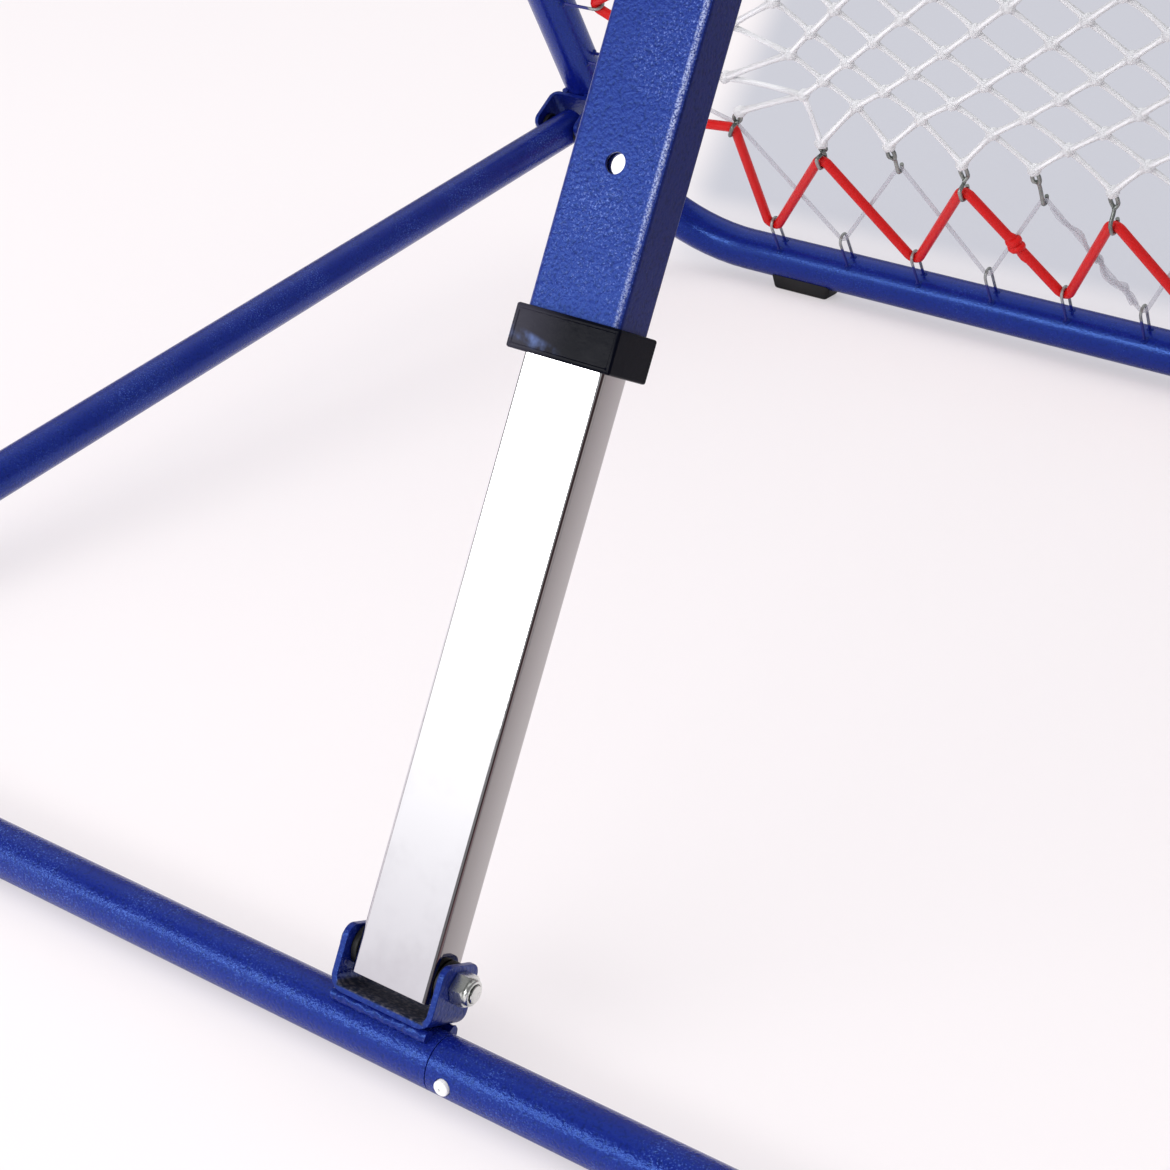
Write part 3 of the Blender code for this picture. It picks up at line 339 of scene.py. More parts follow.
def make_fibres():
    """Fine fibres that wind round a cord, read from a vector that runs along its length."""
    group, given, result = new_group("fibres", {"Scale": 500.0}, ("Height", "Shade"))
    wave = add_node(group, "ShaderNodeTexWave",
                    {"Vector": given["Vector"], "Scale": given["Scale"], "Distortion": 1.2,
                     "Detail": 2.0}, wave_type="BANDS", bands_direction="DIAGONAL")
    fuzz = noise_node(group, given["Vector"], 1500.0, 3.0, 0.6)
    put(result["Height"], calculate(group, "MULTIPLY", wave.outputs["Fac"], fuzz))
    put(result["Shade"], wave.outputs["Fac"])
    return group


ORANGE_PEEL = make_orange_peel()
RIDGE_HIGHLIGHT_LINE = make_ridge_highlight_line()
HANDLING = make_handling()
MOULDING = make_moulding()
FIBRES = make_fibres()
print("effects", [group.name for group in bpy.data.node_groups])

# %% [markdown]
# Each finish keeps its Principled shader in the material itself, and reads the shared
# effects at its own scale. A part's own frame tells a finish where on the part it is.

# %% Finish helpers


def new_material(name, roughness, metallic=0.0):
    material = bpy.data.materials.new(name)
    material.use_nodes = True
    tree = material.node_tree
    shader = tree.nodes["Principled BSDF"].inputs
    put(shader["Roughness"], roughness)
    put(shader["Metallic"], metallic)
    place = add_node(tree, "ShaderNodeTexCoord").outputs["Object"]
    return material, tree, shader, place


def use_effect(tree, group, vector, **values):
    return add_node(tree, "ShaderNodeGroup", {"Vector": vector, **values},
                    node_tree=group).outputs


def bump(tree, shader, height, distance, strength=1.0):
    node = add_node(tree, "ShaderNodeBump",
                    {"Height": height, "Distance": distance, "Strength": strength})
    put(shader["Normal"], node.outputs[0])


def own_place(tree, place, matrix):
    """The place on the surface in a part's own frame, whole and as X, Y and Z."""
    turned = add_node(tree, "ShaderNodeMapping",
                      {"Location": matrix.translation, "Rotation": matrix.to_euler(),
                       "Vector": place}, vector_type="TEXTURE").outputs[0]
    return turned, xyz(tree, turned)


# %% [markdown]
# The blue is a satin powder coat. Its grains are darker in the hollows of the orange peel,
# which is painted shade, and lighter where they would glint, which is painted highlight. Two
# parts have painted light of their own: a painted highlight runs beside the strut's ridge,
# and painted shade lies in the foot bracket's channel.

# %% Blue powder coat
# BLUE_GLINT and each coat's lit colour are painted highlights on the glinting grains.
BLUE = (0.0030, 0.0075, 0.1550)
BLUE_GLINT = (0.060, 0.110, 0.420)


def powder_coat(name, base, lit, peel, depth, glint=0.55, polish=0.26, gloss=0.75, wear=None):
    material, tree, shader, place = new_material(name, 0.30)
    put(shader["Specular IOR Level"], gloss)
    put(shader["Specular Tint"], (0.17, 0.36, 1.0))
    texture = use_effect(tree, ORANGE_PEEL, place, Scale=peel)
    hands = use_effect(tree, HANDLING, place, Scale=9.0)
    # Painted shade darkens the grains in the orange peel's hollows; painted highlights light the
    # speckles.
    hollow_shade = calculate(tree, "MULTIPLY", span(tree, texture["Height"], 0.50, 0.34), 0.55)
    ground = mixed(tree, hollow_shade, base, tuple(channel * 0.40 for channel in base))
    colour = mixed(tree, calculate(tree, "MULTIPLY", texture["Speckle"], glint), ground, lit)
    rough = span(tree, hands["Smudge"], 0.0, 1.0, polish, polish + 0.08, "LINEAR")
    if wear:
        colour, rough = wear(tree, place, colour, rough)
    put(shader["Base Color"], colour)
    put(shader["Roughness"], rough)
    bump(tree, shader, texture["Height"], depth)
    return material


def ridge_highlight(tree, place, colour, rough):
    """A painted highlight in a line beside the strut's ridge, broken up by noise, which fades
    downward.
    """
    local, parts = own_place(tree, place, IN_STRUT)
    ridge_light = use_effect(tree, RIDGE_HIGHLIGHT_LINE, local, X=OUTER_X - 0.0019, Y=-OUTER_Y, Width=0.0017)
    # Painted highlight: a bluish-white line beside the ridge, brighter higher up.
    fading = span(tree, parts["Z"], 0.22, 0.37, 0.35, 0.85)
    mask = calculate(tree, "MULTIPLY", ridge_light["Mask"], fading)
    return mixed(tree, mask, colour, (0.46, 0.52, 0.74)), rough


def shaded_channel(tree, place, colour, rough):
    """Painted shade on the floor of the foot bracket's channel: dark, with lighter specks, and
    dull.
    """
    parts = own_place(tree, place, IN_STRUT)[1]
    above = span(tree, parts["Z"], -0.0176, -0.0169)
    below = span(tree, parts["Z"], -0.0120, -0.0150)
    between = span(tree, calculate(tree, "ABSOLUTE", parts["X"]), 0.0236, 0.0222)
    # Painted shade: the channel's floor is made near black between the ears.
    channel_shade = calculate(tree, "MULTIPLY", calculate(tree, "MULTIPLY", above, below), between)
    hands = use_effect(tree, HANDLING, place, Scale=520.0)
    shade_colour = mixed(tree, hands["Smudge"], (0.0080, 0.0070, 0.0100), (0.110, 0.095, 0.090))
    dull = calculate(tree, "MULTIPLY", channel_shade, 0.80)
    return mixed(tree, channel_shade, colour, shade_colour), calculate(tree, "MAXIMUM", rough, dull)


blue_tube = powder_coat("blue_powder_coat", BLUE, BLUE_GLINT, 620.0, 0.00020, 0.45, 0.20, 1.0)
blue_base = powder_coat("blue_base_coat", (0.0040, 0.0100, 0.165), (0.090, 0.170, 0.560),
                        700.0, 0.00034, 0.9, 0.23, 0.85)
blue_bracket = powder_coat("blue_bracket_coat", (0.0030, 0.0080, 0.135), BLUE_GLINT, 560.0,
                           0.00030)
# The strut's coat has two copies: a lighter one with painted highlight for its wide faces, and a
# darker one with painted shade for its narrow sides.
blue_strut_lit = powder_coat("blue_strut_lit_coat", (0.0120, 0.0235, 0.1780), (0.170, 0.240, 0.580),
                         640.0, 0.00042, 0.80, 0.28, 0.55, ridge_highlight)
blue_strut_shaded_side = powder_coat("blue_strut_shaded_side_coat", (0.0085, 0.0120, 0.0900),
                              (0.030, 0.045, 0.180), 640.0, 0.00012, 0.3, 0.30, 0.16)
blue_foot = powder_coat("blue_foot_coat", (0.0035, 0.0105, 0.1400), BLUE_GLINT, 560.0,
                        0.00030, wear=shaded_channel)

# %% [markdown]
# The metals. The chrome tube is a mirror whose lower end is darker and clouded, with one
# dark ridge, and whose narrow sides are painted darker, a painted reflection of a darker room.
# The bolts are bright zinc, and the eyes' wire is painted with the frame and rubbed bare
# where the cords pull on it.

# %% Metals


def chrome_finish():
    """Mirror chrome, darker toward the foot and clouded there; its narrow sides are painted
    darker, a painted reflection of a darker room.
    """
    material, tree, shader, place = new_material("mirror_chrome", 0.06, 1.0)
    local, parts = own_place(tree, place, IN_STRUT)
    smudge = use_effect(tree, HANDLING, local, Scale=22.0)["Smudge"]
    low = span(tree, parts["Z"], 0.160, -0.010, kind="LINEAR")
    ground = mixed(tree, low, (0.93, 0.93, 0.95), (0.480, 0.462, 0.500))
    cloudy = calculate(tree, "MULTIPLY", calculate(tree, "MULTIPLY", low, smudge), 0.45)
    clouded = mixed(tree, cloudy, ground, (0.36, 0.34, 0.37))
    ridge = span(tree, parts["X"], 0.0188, 0.0191)
    wide_side = mixed(tree, ridge, clouded, (0.120, 0.075, 0.080))
    # Painted reflection: the narrow sides are grey, lighter across their width.
    across = span(tree, parts["Y"], -0.009, 0.008, kind="LINEAR")
    narrow_side_reflection = mixed(tree, across, (0.270, 0.255, 0.250), (0.450, 0.435, 0.430))
    on_narrow = span(tree, calculate(tree, "ABSOLUTE", parts["X"]), 0.0194, 0.0198)
    put(shader["Base Color"], mixed(tree, on_narrow, wide_side, narrow_side_reflection))
    put(shader["Roughness"], span(tree, smudge, 0.0, 1.0, 0.05, 0.17, "LINEAR"))
    drawn = use_effect(tree, MOULDING, local, Scale=160.0)
    bump(tree, shader, drawn["Height"], 0.00002, 0.5)
    return material


def plain_metal(name, base, tone, roughness, grain):
    """Plated steel with a clouded tone and a fine grain."""
    material, tree, shader, place = new_material(name, roughness, 1.0)
    texture = use_effect(tree, MOULDING, place, Scale=grain)
    shade = span(tree, texture["Cloud"], 0.35, 0.65)
    put(shader["Base Color"], mixed(tree, shade, base, tone))
    put(shader["Roughness"], span(tree, texture["Height"], 0.2, 0.8, roughness * 0.8,
                                  roughness * 1.3, "LINEAR"))
    bump(tree, shader, texture["Height"], 0.00003)
    return material


def eye_wire_finish():
    """Wire painted like the frame, and bare beyond a slanting, uneven border."""
    material, tree, shader, place = new_material("painted_eye_wire", 0.40)
    parts = own_place(tree, place, IN_NET)[1]
    from_middle = calculate(tree, "MAXIMUM", calculate(tree, "ABSOLUTE", parts["X"]),
                            calculate(tree, "ABSOLUTE", parts["Y"]))
    texture = use_effect(tree, MOULDING, place, Scale=900.0)
    wander = calculate(tree, "MULTIPLY_ADD", texture["Cloud"], 0.006, from_middle)
    border = calculate(tree, "MULTIPLY_ADD", parts["Z"], 1.5, wander)
    bare = span(tree, border, HALF - 0.0244, HALF - 0.0274)
    metal = mixed(tree, texture["Cloud"], (0.62, 0.63, 0.62), (0.10, 0.12, 0.12))
    put(shader["Base Color"], mixed(tree, bare, BLUE, metal))
    put(shader["Metallic"], calculate(tree, "MULTIPLY", bare, 0.8))
    bump(tree, shader, texture["Height"], 0.00008)
    return material


chrome = chrome_finish()
zinc = plain_metal("bright_zinc", (0.80, 0.81, 0.77), (0.60, 0.62, 0.60), 0.24, 260.0)
wire_zinc = plain_metal("dull_zinc_wire", (0.36, 0.38, 0.36), (0.20, 0.22, 0.21), 0.42, 700.0)
eye_wire = eye_wire_finish()
spring_steel = plain_metal("spring_steel", (0.42, 0.42, 0.43), (0.30, 0.30, 0.32), 0.35, 800.0)

# %% [markdown]
# Plastics and rubber out of a mould have a faint grain, and are a little smudged. The collar is
# a glossy one of its own, with painted light: it is painted lighter toward its left end, and
# a blue band of painted reflection crosses it.

# %% Mouldings


def moulded(name, base, tone, roughness, coat, grain, depth):
    material, tree, shader, place = new_material(name, roughness)
    texture = use_effect(tree, MOULDING, place, Scale=grain)
    hands = use_effect(tree, HANDLING, place, Scale=30.0)
    put(shader["Base Color"], mixed(tree, hands["Smudge"], base, tone))
    put(shader["Roughness"], span(tree, texture["Cloud"], 0.3, 0.7, roughness * 0.8,
                                  roughness * 1.25, "LINEAR"))
    put(shader["Coat Weight"], coat)
    put(shader["Specular IOR Level"], 0.35)
    bump(tree, shader, texture["Height"], depth)
    return material


def reflection_band_mask(tree, parts, smudge):
    """A slanting band of painted reflection across the collar's left half, broken up by smudges.
    """
    height = calculate(tree, "SUBTRACT", parts["Z"], COLLAR_FROM_FOOT + 0.0018)
    off = calculate(tree, "MULTIPLY_ADD", parts["X"], 0.22, height)
    band = span(tree, calculate(tree, "ABSOLUTE", off), 0.0036, 0.0012)
    left = span(tree, parts["X"], 0.006, -0.012)
    return calculate(tree, "MULTIPLY", calculate(tree, "MULTIPLY", band, left), smudge)


def collar_finish():
    material, tree, shader, place = new_material("black_collar_plastic", 0.20)
    parts = own_place(tree, place, IN_STRUT)[1]
    texture = use_effect(tree, MOULDING, place, Scale=260.0)
    hands = use_effect(tree, HANDLING, place, Scale=60.0)
    # Painted light: lighter toward the left end, and a blue band of painted reflection.
    lit_toward_left = span(tree, parts["X"], 0.006, -0.025)
    base = mixed(tree, lit_toward_left, (0.0012, 0.0016, 0.0050), (0.030, 0.029, 0.042))
    reflection_band = reflection_band_mask(tree, parts, hands["Smudge"])
    put(shader["Base Color"], mixed(tree, reflection_band, base, (0.10, 0.15, 0.34)))
    put(shader["Roughness"], span(tree, texture["Cloud"], 0.3, 0.7, 0.16, 0.28, "LINEAR"))
    put(shader["Specular IOR Level"], 0.04)
    bump(tree, shader, texture["Height"], 0.00008)
    return material


button_white = moulded("pale_button", (0.86, 0.86, 0.85), (0.78, 0.78, 0.78), 0.28, 0.3,
                       600.0, 0.00003)
black_collar = collar_finish()
black_nylon = moulded("black_nylon", (0.006, 0.006, 0.007), (0.012, 0.012, 0.013), 0.5, 0.0,
                      800.0, 0.00004)
rubber = moulded("black_rubber", (0.0045, 0.0045, 0.0050), (0.009, 0.009, 0.009), 0.50, 0.0,
                 500.0, 0.00010)

# %% [markdown]
# The cords and the net's twine read their fibres from a UV map, so that these follow the
# length of each cord. The second elastic is clear, so its material lets some light through.

# %% Cords


def cord_finish(name, base, tone, roughness, along, depth, alpha=1.0):
    material, tree, shader, place = new_material(name, roughness)
    lengthwise = add_node(tree, "ShaderNodeUVMap").outputs[0]
    fibres = use_effect(tree, FIBRES, lengthwise, Scale=along)
    cloud = use_effect(tree, MOULDING, place, Scale=300.0)["Cloud"]
    shade = calculate(tree, "MULTIPLY", fibres["Shade"], cloud)
    put(shader["Base Color"], mixed(tree, shade, base, tone))
    put(shader["Specular IOR Level"], 0.22)
    put(shader["Alpha"], alpha)
    bump(tree, shader, fibres["Height"], depth)
    return material


red_rubber = cord_finish("red_elastic_cord", (0.600, 0.006, 0.006), (0.440, 0.003, 0.004),
                         0.34, 90.0, 0.00004)
pale_rubber = cord_finish("pale_elastic_cord", (0.560, 0.560, 0.620), (0.40, 0.40, 0.47),
                          0.30, 60.0, 0.00008, 0.40)
net_twine = cord_finish("net_twine", (0.87, 0.88, 0.90), (0.76, 0.77, 0.82), 0.70, 120.0,
                        0.00020)
print(len(bpy.data.materials), "materials with the CAD model's own")

# %% [markdown]
# Modelling tools. Operators act on what is selected, so one tool selects a single object,
# and another picks edges or faces by a test of their place. Every mesh is settled, which
# puts its place into its vertices and leaves the object itself at the origin.

# %% Selecting and shaping
ALONG_X = (0, math.pi / 2, 0)
ALONG_Y = (math.pi / 2, 0, 0)


def select_only(item):
    if bpy.context.mode != "OBJECT":
        bpy.ops.object.mode_set(mode="OBJECT")
    bpy.ops.object.select_all(action="DESELECT")
    item.select_set(True)
    bpy.context.view_layer.objects.active = item


def edit(item):
    select_only(item)
    bpy.ops.object.mode_set(mode="EDIT")


def leave():
    bpy.ops.object.mode_set(mode="OBJECT")


def pick(item, kind, test):
    """In edit mode, select the edges or faces whose middle passes the test."""
    bpy.ops.mesh.select_mode(type=kind)
    bpy.ops.mesh.select_all(action="DESELECT")
    shape = bmesh.from_edit_mesh(item.data)
    for part in shape.edges if kind == "EDGE" else shape.faces:
        middle = sum((corner.co for corner in part.verts), Vector()) / len(part.verts)
        if test(middle, part):
            part.select_set(True)
    bmesh.update_edit_mesh(item.data)


def extrude(vector):
    bpy.ops.mesh.extrude_region_move(TRANSFORM_OT_translate={"value": vector})


def bend(centre, axis, degrees, steps):
    """Spin what is selected round an axis; the operator's own sign is the other way."""
    bpy.ops.mesh.spin(steps=steps, angle=-math.radians(degrees), center=centre, axis=axis)


def settle(item):
    """Put an object's place, turn and size into its mesh."""
    select_only(item)
    bpy.ops.object.transform_apply(location=True, rotation=True, scale=True)


def carry(item, matrix):
    """Move a finished mesh from the frame it was modelled in to its place in the world."""
    item.matrix_world = matrix @ item.matrix_world
    settle(item)
    return item


def outward(item):
    edit(item)
    bpy.ops.mesh.select_all(action="SELECT")
    bpy.ops.mesh.remove_doubles(threshold=1e-6)
    bpy.ops.mesh.normals_make_consistent(inside=False)
    leave()


# %% [markdown]
# Modifiers are applied as soon as they are added, so that every mesh is final. Primitives
# are only starting shapes: they are stretched, cut, bevelled or extruded afterwards.

# %% Modifiers and starting shapes


def apply_modifier(item, kind, **values):
    select_only(item)
    modifier = item.modifiers.new(kind.lower(), kind)
    for name, value in values.items():
        setattr(modifier, name, value)
    bpy.ops.object.modifier_apply(modifier=modifier.name)


def discard(item):
    bpy.data.objects.remove(item, do_unlink=True)


def cut(item, tool, operation="DIFFERENCE"):
    apply_modifier(item, "BOOLEAN", operation=operation, object=tool, solver="EXACT")
    discard(tool)


def round_edges(item, width, segments, degrees):
    """Bevel the edges that are sharper than an angle."""
    apply_modifier(item, "BEVEL", width=width, segments=segments, limit_method="ANGLE",
                   angle_limit=math.radians(degrees))


def primitive(add, stretch=(1, 1, 1), **values):
    """Add a primitive with nothing else selected, its place and size settled in its mesh."""
    bpy.ops.object.select_all(action="DESELECT")
    add(**values)
    item = bpy.context.active_object
    item.scale = stretch
    settle(item)
    return item


def cylinder(radius, length, place, turn=(0, 0, 0), sides=32):
    return primitive(bpy.ops.mesh.primitive_cylinder_add, vertices=sides, radius=radius,
                     depth=length, location=place, rotation=turn)


def block(size, place):
    return primitive(bpy.ops.mesh.primitive_cube_add, size, size=1, location=place)


def ring(radius, place, turn, sides):
    """A circle of edges, open in edit mode with all of it selected, ready to be extruded."""
    item = primitive(bpy.ops.mesh.primitive_circle_add, vertices=sides, radius=radius,
                     fill_type="NOTHING", location=place, rotation=turn)
    edit(item)
    bpy.ops.mesh.select_all(action="SELECT")
    return item


# %% [markdown]
# A finished piece takes its name, material and shading, and is tied to the body that carries it
# and to the CAD nodes whose place it takes.


def finish_piece(item, name, body, material, replaced=(), angle=35):
    item.name = name
    item.data.name = name
    item.data.materials.clear()
    item.data.materials.append(material)
    select_only(item)
    bpy.ops.object.shade_smooth_by_angle(angle=math.radians(angle))
    if angle < 60:
        apply_modifier(item, "WEIGHTED_NORMAL", keep_sharp=True, weight=50)
    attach(item, body)
    if replaced:
        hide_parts(*replaced)
    return item


def join(items):
    select_only(items[0])
    for item in items[1:]:
        item.select_set(True)
    if len(items) > 1:
        bpy.ops.object.join()
    return items[0]


def copy_to(item, matrix):
    twin = item.copy()
    twin.data = item.data.copy()
    bpy.context.scene.collection.objects.link(twin)
    twin.data.transform(matrix)
    return twin


# %% [markdown]
# The base is one round tube bent to a U, in two halves that meet over a sleeve to the right
# of the strut. It is drawn as a machine bends it: a circle is extruded along each straight
# run, spun round the centre of each bend, and given its wall. A curve with a bevel would do
# too, but this gives clean quads and exact bend radii.

# %% Base tubes
BASE_BEND = 0.090
BASE_WALL = 0.0018
SIDE_RUN = SIDE.length + 0.008 - BASE_BEND
SPLICE_HOLE_R = 0.0039


def bent_tube(radius, wall, start, steps, sides=40):
    """A circle square to X, taken along runs and round bends, then given its wall."""
    item = ring(radius, start, ALONG_X, sides)
    for step in steps:
        if step[0] == "run":
            extrude(step[1])
        else:
            bend(step[1], (0, 0, 1), step[2], 14)
    leave()
    outward(item)
    apply_modifier(item, "SOLIDIFY", thickness=wall, offset=-1.0, use_even_offset=True)
    return item


def base_half(side):
    seam = SEAM + side * GAP / 2
    middle = side * (HALF - BASE_BEND)
    item = bent_tube(BASE_R, BASE_WALL, (seam, 0, 0), [
        ("run", (middle - seam, 0, 0)),
        ("bend", (middle, BASE_BEND, 0), side * 90),
        ("run", (0, SIDE_RUN, 0))])
    cut(item, cylinder(BOLT_HOLE_R, 0.06, (side * HALF, SIDE.length, 0), ALONG_X))
    return carry(item, IN_BASE)


for word, side in (("left", -1), ("right", 1)):
    tube = base_half(side)
    if side > 0:
        cut(tube, cylinder(SPLICE_HOLE_R, 0.01, CROSSBAR + BUTTON_X + Vector((0, -BASE_R, 0)),
                           ALONG_Y))
    edit(tube)
    pick(tube, "EDGE", lambda middle, part: abs(middle.x - SEAM) < 0.0005
         and middle.y < CROSSBAR.y + 0.02 and part.calc_face_angle(0) > 1.0)
    bpy.ops.mesh.bevel(offset=0.00035, segments=2)
    leave()
    finish_piece(tube, "base_tube_" + word, "base", blue_base,
                 ["base_" + word + "_tube"])
    print(tube.name, len(tube.data.polygons), "faces")

# %% [markdown]
# The net frame is made in the same way, of thicker tube with 100 mm bends, in its own plane,
# and then leaned back. Small wire staples are welded along its inside for the cords. One
# staple is modelled, and the other 51 are copies of it.

# %% Net frame
FRAME_BEND = 0.100
FRAME_WALL = 0.002
STRAIGHT = 2 * (HALF - FRAME_BEND)


def frame_half(side):
    seam = SEAM + side * GAP / 2
    middle = side * (HALF - FRAME_BEND)
    item = bent_tube(FRAME_R, FRAME_WALL, (seam, HALF, 0), [
        ("run", (middle - seam, 0, 0)),
        ("bend", (middle, HALF - FRAME_BEND, 0), -side * 90),
        ("run", (0, -STRAIGHT, 0)),
        ("bend", (middle, -HALF + FRAME_BEND, 0), -side * 90),
        ("run", (seam - middle, 0, 0))], 48)
    return carry(item, IN_NET)


for word, side in (("left", -1), ("right", 1)):
    tube = frame_half(side)
    if side > 0:
        top_hole = TOP_RAIL + BUTTON_X - OUT * FRAME_R
        low_hole = RAIL + BUTTON_X - UP * FRAME_R
        cut(tube, cylinder(SPLICE_HOLE_R, 0.01, top_hole, (math.pi - LEAN, 0, 0)))
        cut(tube, cylinder(SPLICE_HOLE_R, 0.01, low_hole, (math.pi / 2 - LEAN, 0, 0)))
    finish_piece(tube, "net_frame_tube_" + word, "net_frame", blue_tube,
                 ["frame_" + word + "_tube"])

# %% [markdown]
# A staple is a wire ring extruded up one leg, spun over its crown and run down the other.
# Its feet sit in small lumps of painted weld.

# %% Wire eyes
FIRST_EYE, EYE_PITCH, EYE_STEPS = 0.0485, 0.0605, 6
EYE_WIRE = 0.0030
EYE_CROWN = 0.0465
EYE_HALF = (0.0060 + EYE_WIRE) / 2 + GAP


def eye_place(step):
    if step == 0:
        return 0.0
    return math.copysign(FIRST_EYE + (abs(step) - 1) * EYE_PITCH, step)


def model_eye():
    root = FRAME_R - 0.001
    turn_at = EYE_CROWN - EYE_HALF
    item = ring(0.00115, (0, root, EYE_HALF), ALONG_Y, 10)
    extrude((0, turn_at - root, 0))
    bend((0, turn_at, 0), (1, 0, 0), -180, 10)
    extrude((0, root - turn_at, 0))
    leave()
    outward(item)
    item.data.transform(Matrix.Translation((0, -HALF, 0)))
    return item


def model_weld_dot(height):
    surface = -HALF + math.sqrt(FRAME_R ** 2 - height ** 2)
    return primitive(bpy.ops.mesh.primitive_uv_sphere_add, (1.0, 0.55, 1.1), segments=12,
                     ring_count=6, radius=0.0028, location=(0, surface - 0.0004, height))


eye = model_eye()
weld_dot = join([model_weld_dot(EYE_HALF), model_weld_dot(-EYE_HALF)])
eyes = {"left": [], "right": []}
dots = {"left": [], "right": []}
for quarter in range(4):
    turn = Matrix.Rotation(math.pi / 2 * quarter, 4, "Z")
    for step in range(-EYE_STEPS, EYE_STEPS + 1):
        middle = turn @ Vector((eye_place(step), -HALF, 0))
        word = "right" if middle.x > SEAM else "left"
        move = IN_NET @ turn @ Matrix.Translation((eye_place(step), 0, 0))
        eyes[word].append(copy_to(eye, move))
        dots[word].append(copy_to(weld_dot, move))
discard(eye)
discard(weld_dot)
for word in eyes:
    finish_piece(join(eyes[word]), "wire_eyes_" + word, "net_frame", eye_wire)
    finish_piece(join(dots[word]), "eye_welds_" + word, "net_frame", blue_bracket)
print("52 eyes and their welds")

# %% [markdown]
# Brackets are 3 mm plate folded to a U. A flat strip is laid down, each edge is spun up
# round the fold and extruded to the ear's top, and Solidify gives the plate its thickness.
# The ears' corners are then bevelled, and the bolt hole is drilled.

# %% Brackets
SPACER = 0.003
FOLD = 0.004
EAR_TOP = 0.009
STRUT_BRACKET_DEPTH, HINGE_BRACKET_DEPTH = 0.026, 0.030


def model_bracket(tube_width, height, depth, under_r, under_turn):
    """A U of plate whose ears stand beside a tube, on a tube of radius under_r."""
    inside = (tube_width + 2 * (SPACER + 2 * GAP)) / 2
    flat_half = inside - FOLD
    mid_fold = FOLD + PLATE / 2
    web = -height - PLATE / 2
    item = primitive(bpy.ops.mesh.primitive_plane_add, (2 * flat_half, depth, 1), size=1,
                     location=(0, 0, web))
    for side in (1, -1):
        edit(item)
        pick(item, "EDGE", lambda middle, part: abs(middle.x - side * flat_half) < 1e-5
             and abs(part.verts[0].co.x - part.verts[1].co.x) < 1e-6)
        bend((side * flat_half, 0, web + mid_fold), (0, 1, 0), -side * 90, 8)
        extrude((0, 0, EAR_TOP - web - mid_fold))
        leave()
    outward(item)
    apply_modifier(item, "SOLIDIFY", thickness=PLATE, offset=0.0, use_even_offset=True)
    outward(item)
    edit(item)
    pick(item, "EDGE", lambda middle, part: abs(part.verts[0].co.x - part.verts[1].co.x) > 0.002
         and abs(middle.z - EAR_TOP) < 1e-4)
    bpy.ops.mesh.bevel(offset=0.0055, segments=6)
    leave()
    bore = cylinder(under_r + 0.8 * GAP, 0.2, (0, 0, -height - PLATE - GAP - under_r),
                    under_turn, 96)
    cut(item, bore)
    cut(item, cylinder(BOLT_HOLE_R, 0.2, (0, 0, 0), ALONG_X))
    round_edges(item, 0.00045, 2, 50)
    return item


def model_weld(length, place, radius):
    """A bead of weld: a rod with rounded ends, swollen unevenly as the torch left it."""
    item = cylinder(radius, length, (0, 0, 0), ALONG_X, 20)
    edit(item)
    pick(item, "FACE", lambda middle, part: abs(abs(middle.x) - length / 2) < 1e-5)
    bpy.ops.mesh.inset(thickness=radius * 0.45)
    leave()
    outward(item)
    edit(item)
    pick(item, "EDGE", lambda middle, part: abs(middle.x) < 1e-5)
    bpy.ops.mesh.subdivide(number_cuts=40)
    leave()
    for vertex in item.data.vertices:
        ripple = noise.noise(vertex.co * 420.0 + Vector((place[1] * 90, 0, 0)))
        slump = 1.0 + 0.22 * ripple + 0.05 * math.sin(vertex.co.x * 2 * math.pi / 0.0035)
        vertex.co.y *= slump
        vertex.co.z *= slump
    return carry(item, Matrix.Translation(place))


def bracket_with_welds(name, body, node, matrix, tube_width, height, depth, under_r, turn,
                       coat):
    item = carry(model_bracket(tube_width, height, depth, under_r, turn), matrix)
    finish_piece(item, name, body, coat, [node], 40)
    reach = tube_width / 2 + SPACER + 2 * GAP + PLATE / 2
    welds = []
    for side in (-1, 1):
        low = -height - PLATE - 0.0024
        if turn == ALONG_X:
            bead = model_weld(2 * reach, (0, side * under_r * 0.74, low), 0.0029)
        else:
            bead = model_weld(depth - 0.002, (0, side * under_r * 0.62, low), 0.0023)
            bead.data.transform(Matrix.Rotation(math.pi / 2, 4, "Z"))
        welds.append(carry(bead, matrix))
    finish_piece(join(welds), name + "_welds", body, blue_bracket, (), 80)


bracket_with_welds("strut_foot_bracket", "base", "foot_bracket", IN_STRUT, 2 * INNER_X,
                   FOOT_EAR, STRUT_BRACKET_DEPTH, BASE_R, ALONG_X, blue_foot)
bracket_with_welds("strut_top_bracket", "net_frame", "top_bracket", AT_TOP, 2 * OUTER_X,
                   TOP_EAR, STRUT_BRACKET_DEPTH, FRAME_R, ALONG_X, blue_bracket)
HINGE_TURN = Matrix.Rotation(math.pi - LEAN, 4, "X")
HINGE_AT = {}
for word, side in (("left", -1), ("right", 1)):
    HINGE_AT[word] = Matrix.Translation(HINGE + Vector((side * HALF, 0, 0))) @ HINGE_TURN
    bracket_with_welds("hinge_bracket_" + word, "net_frame", word + "_hinge_bracket",
                       HINGE_AT[word], 2 * BASE_R, HINGE_EAR, HINGE_BRACKET_DEPTH, FRAME_R,
                       ALONG_Y, blue_bracket)
print("four brackets")

# %% [markdown]
# M8 bolts with nyloc nuts and nylon washers hold the pivots. A hexagon is a six-sided
# cylinder whose corners are turned off by a cone; the nut has a domed collar, and the bolt's
# end shows its thread as close rings.

# %% Bolts, nuts and washers
BOLT_R = 0.004
FLATS = 0.013
HEAD_HEIGHT, NUT_HEIGHT = 0.0040, 0.0062
THREAD_RADIUS, THREAD_PITCH = 0.00045, 0.00125


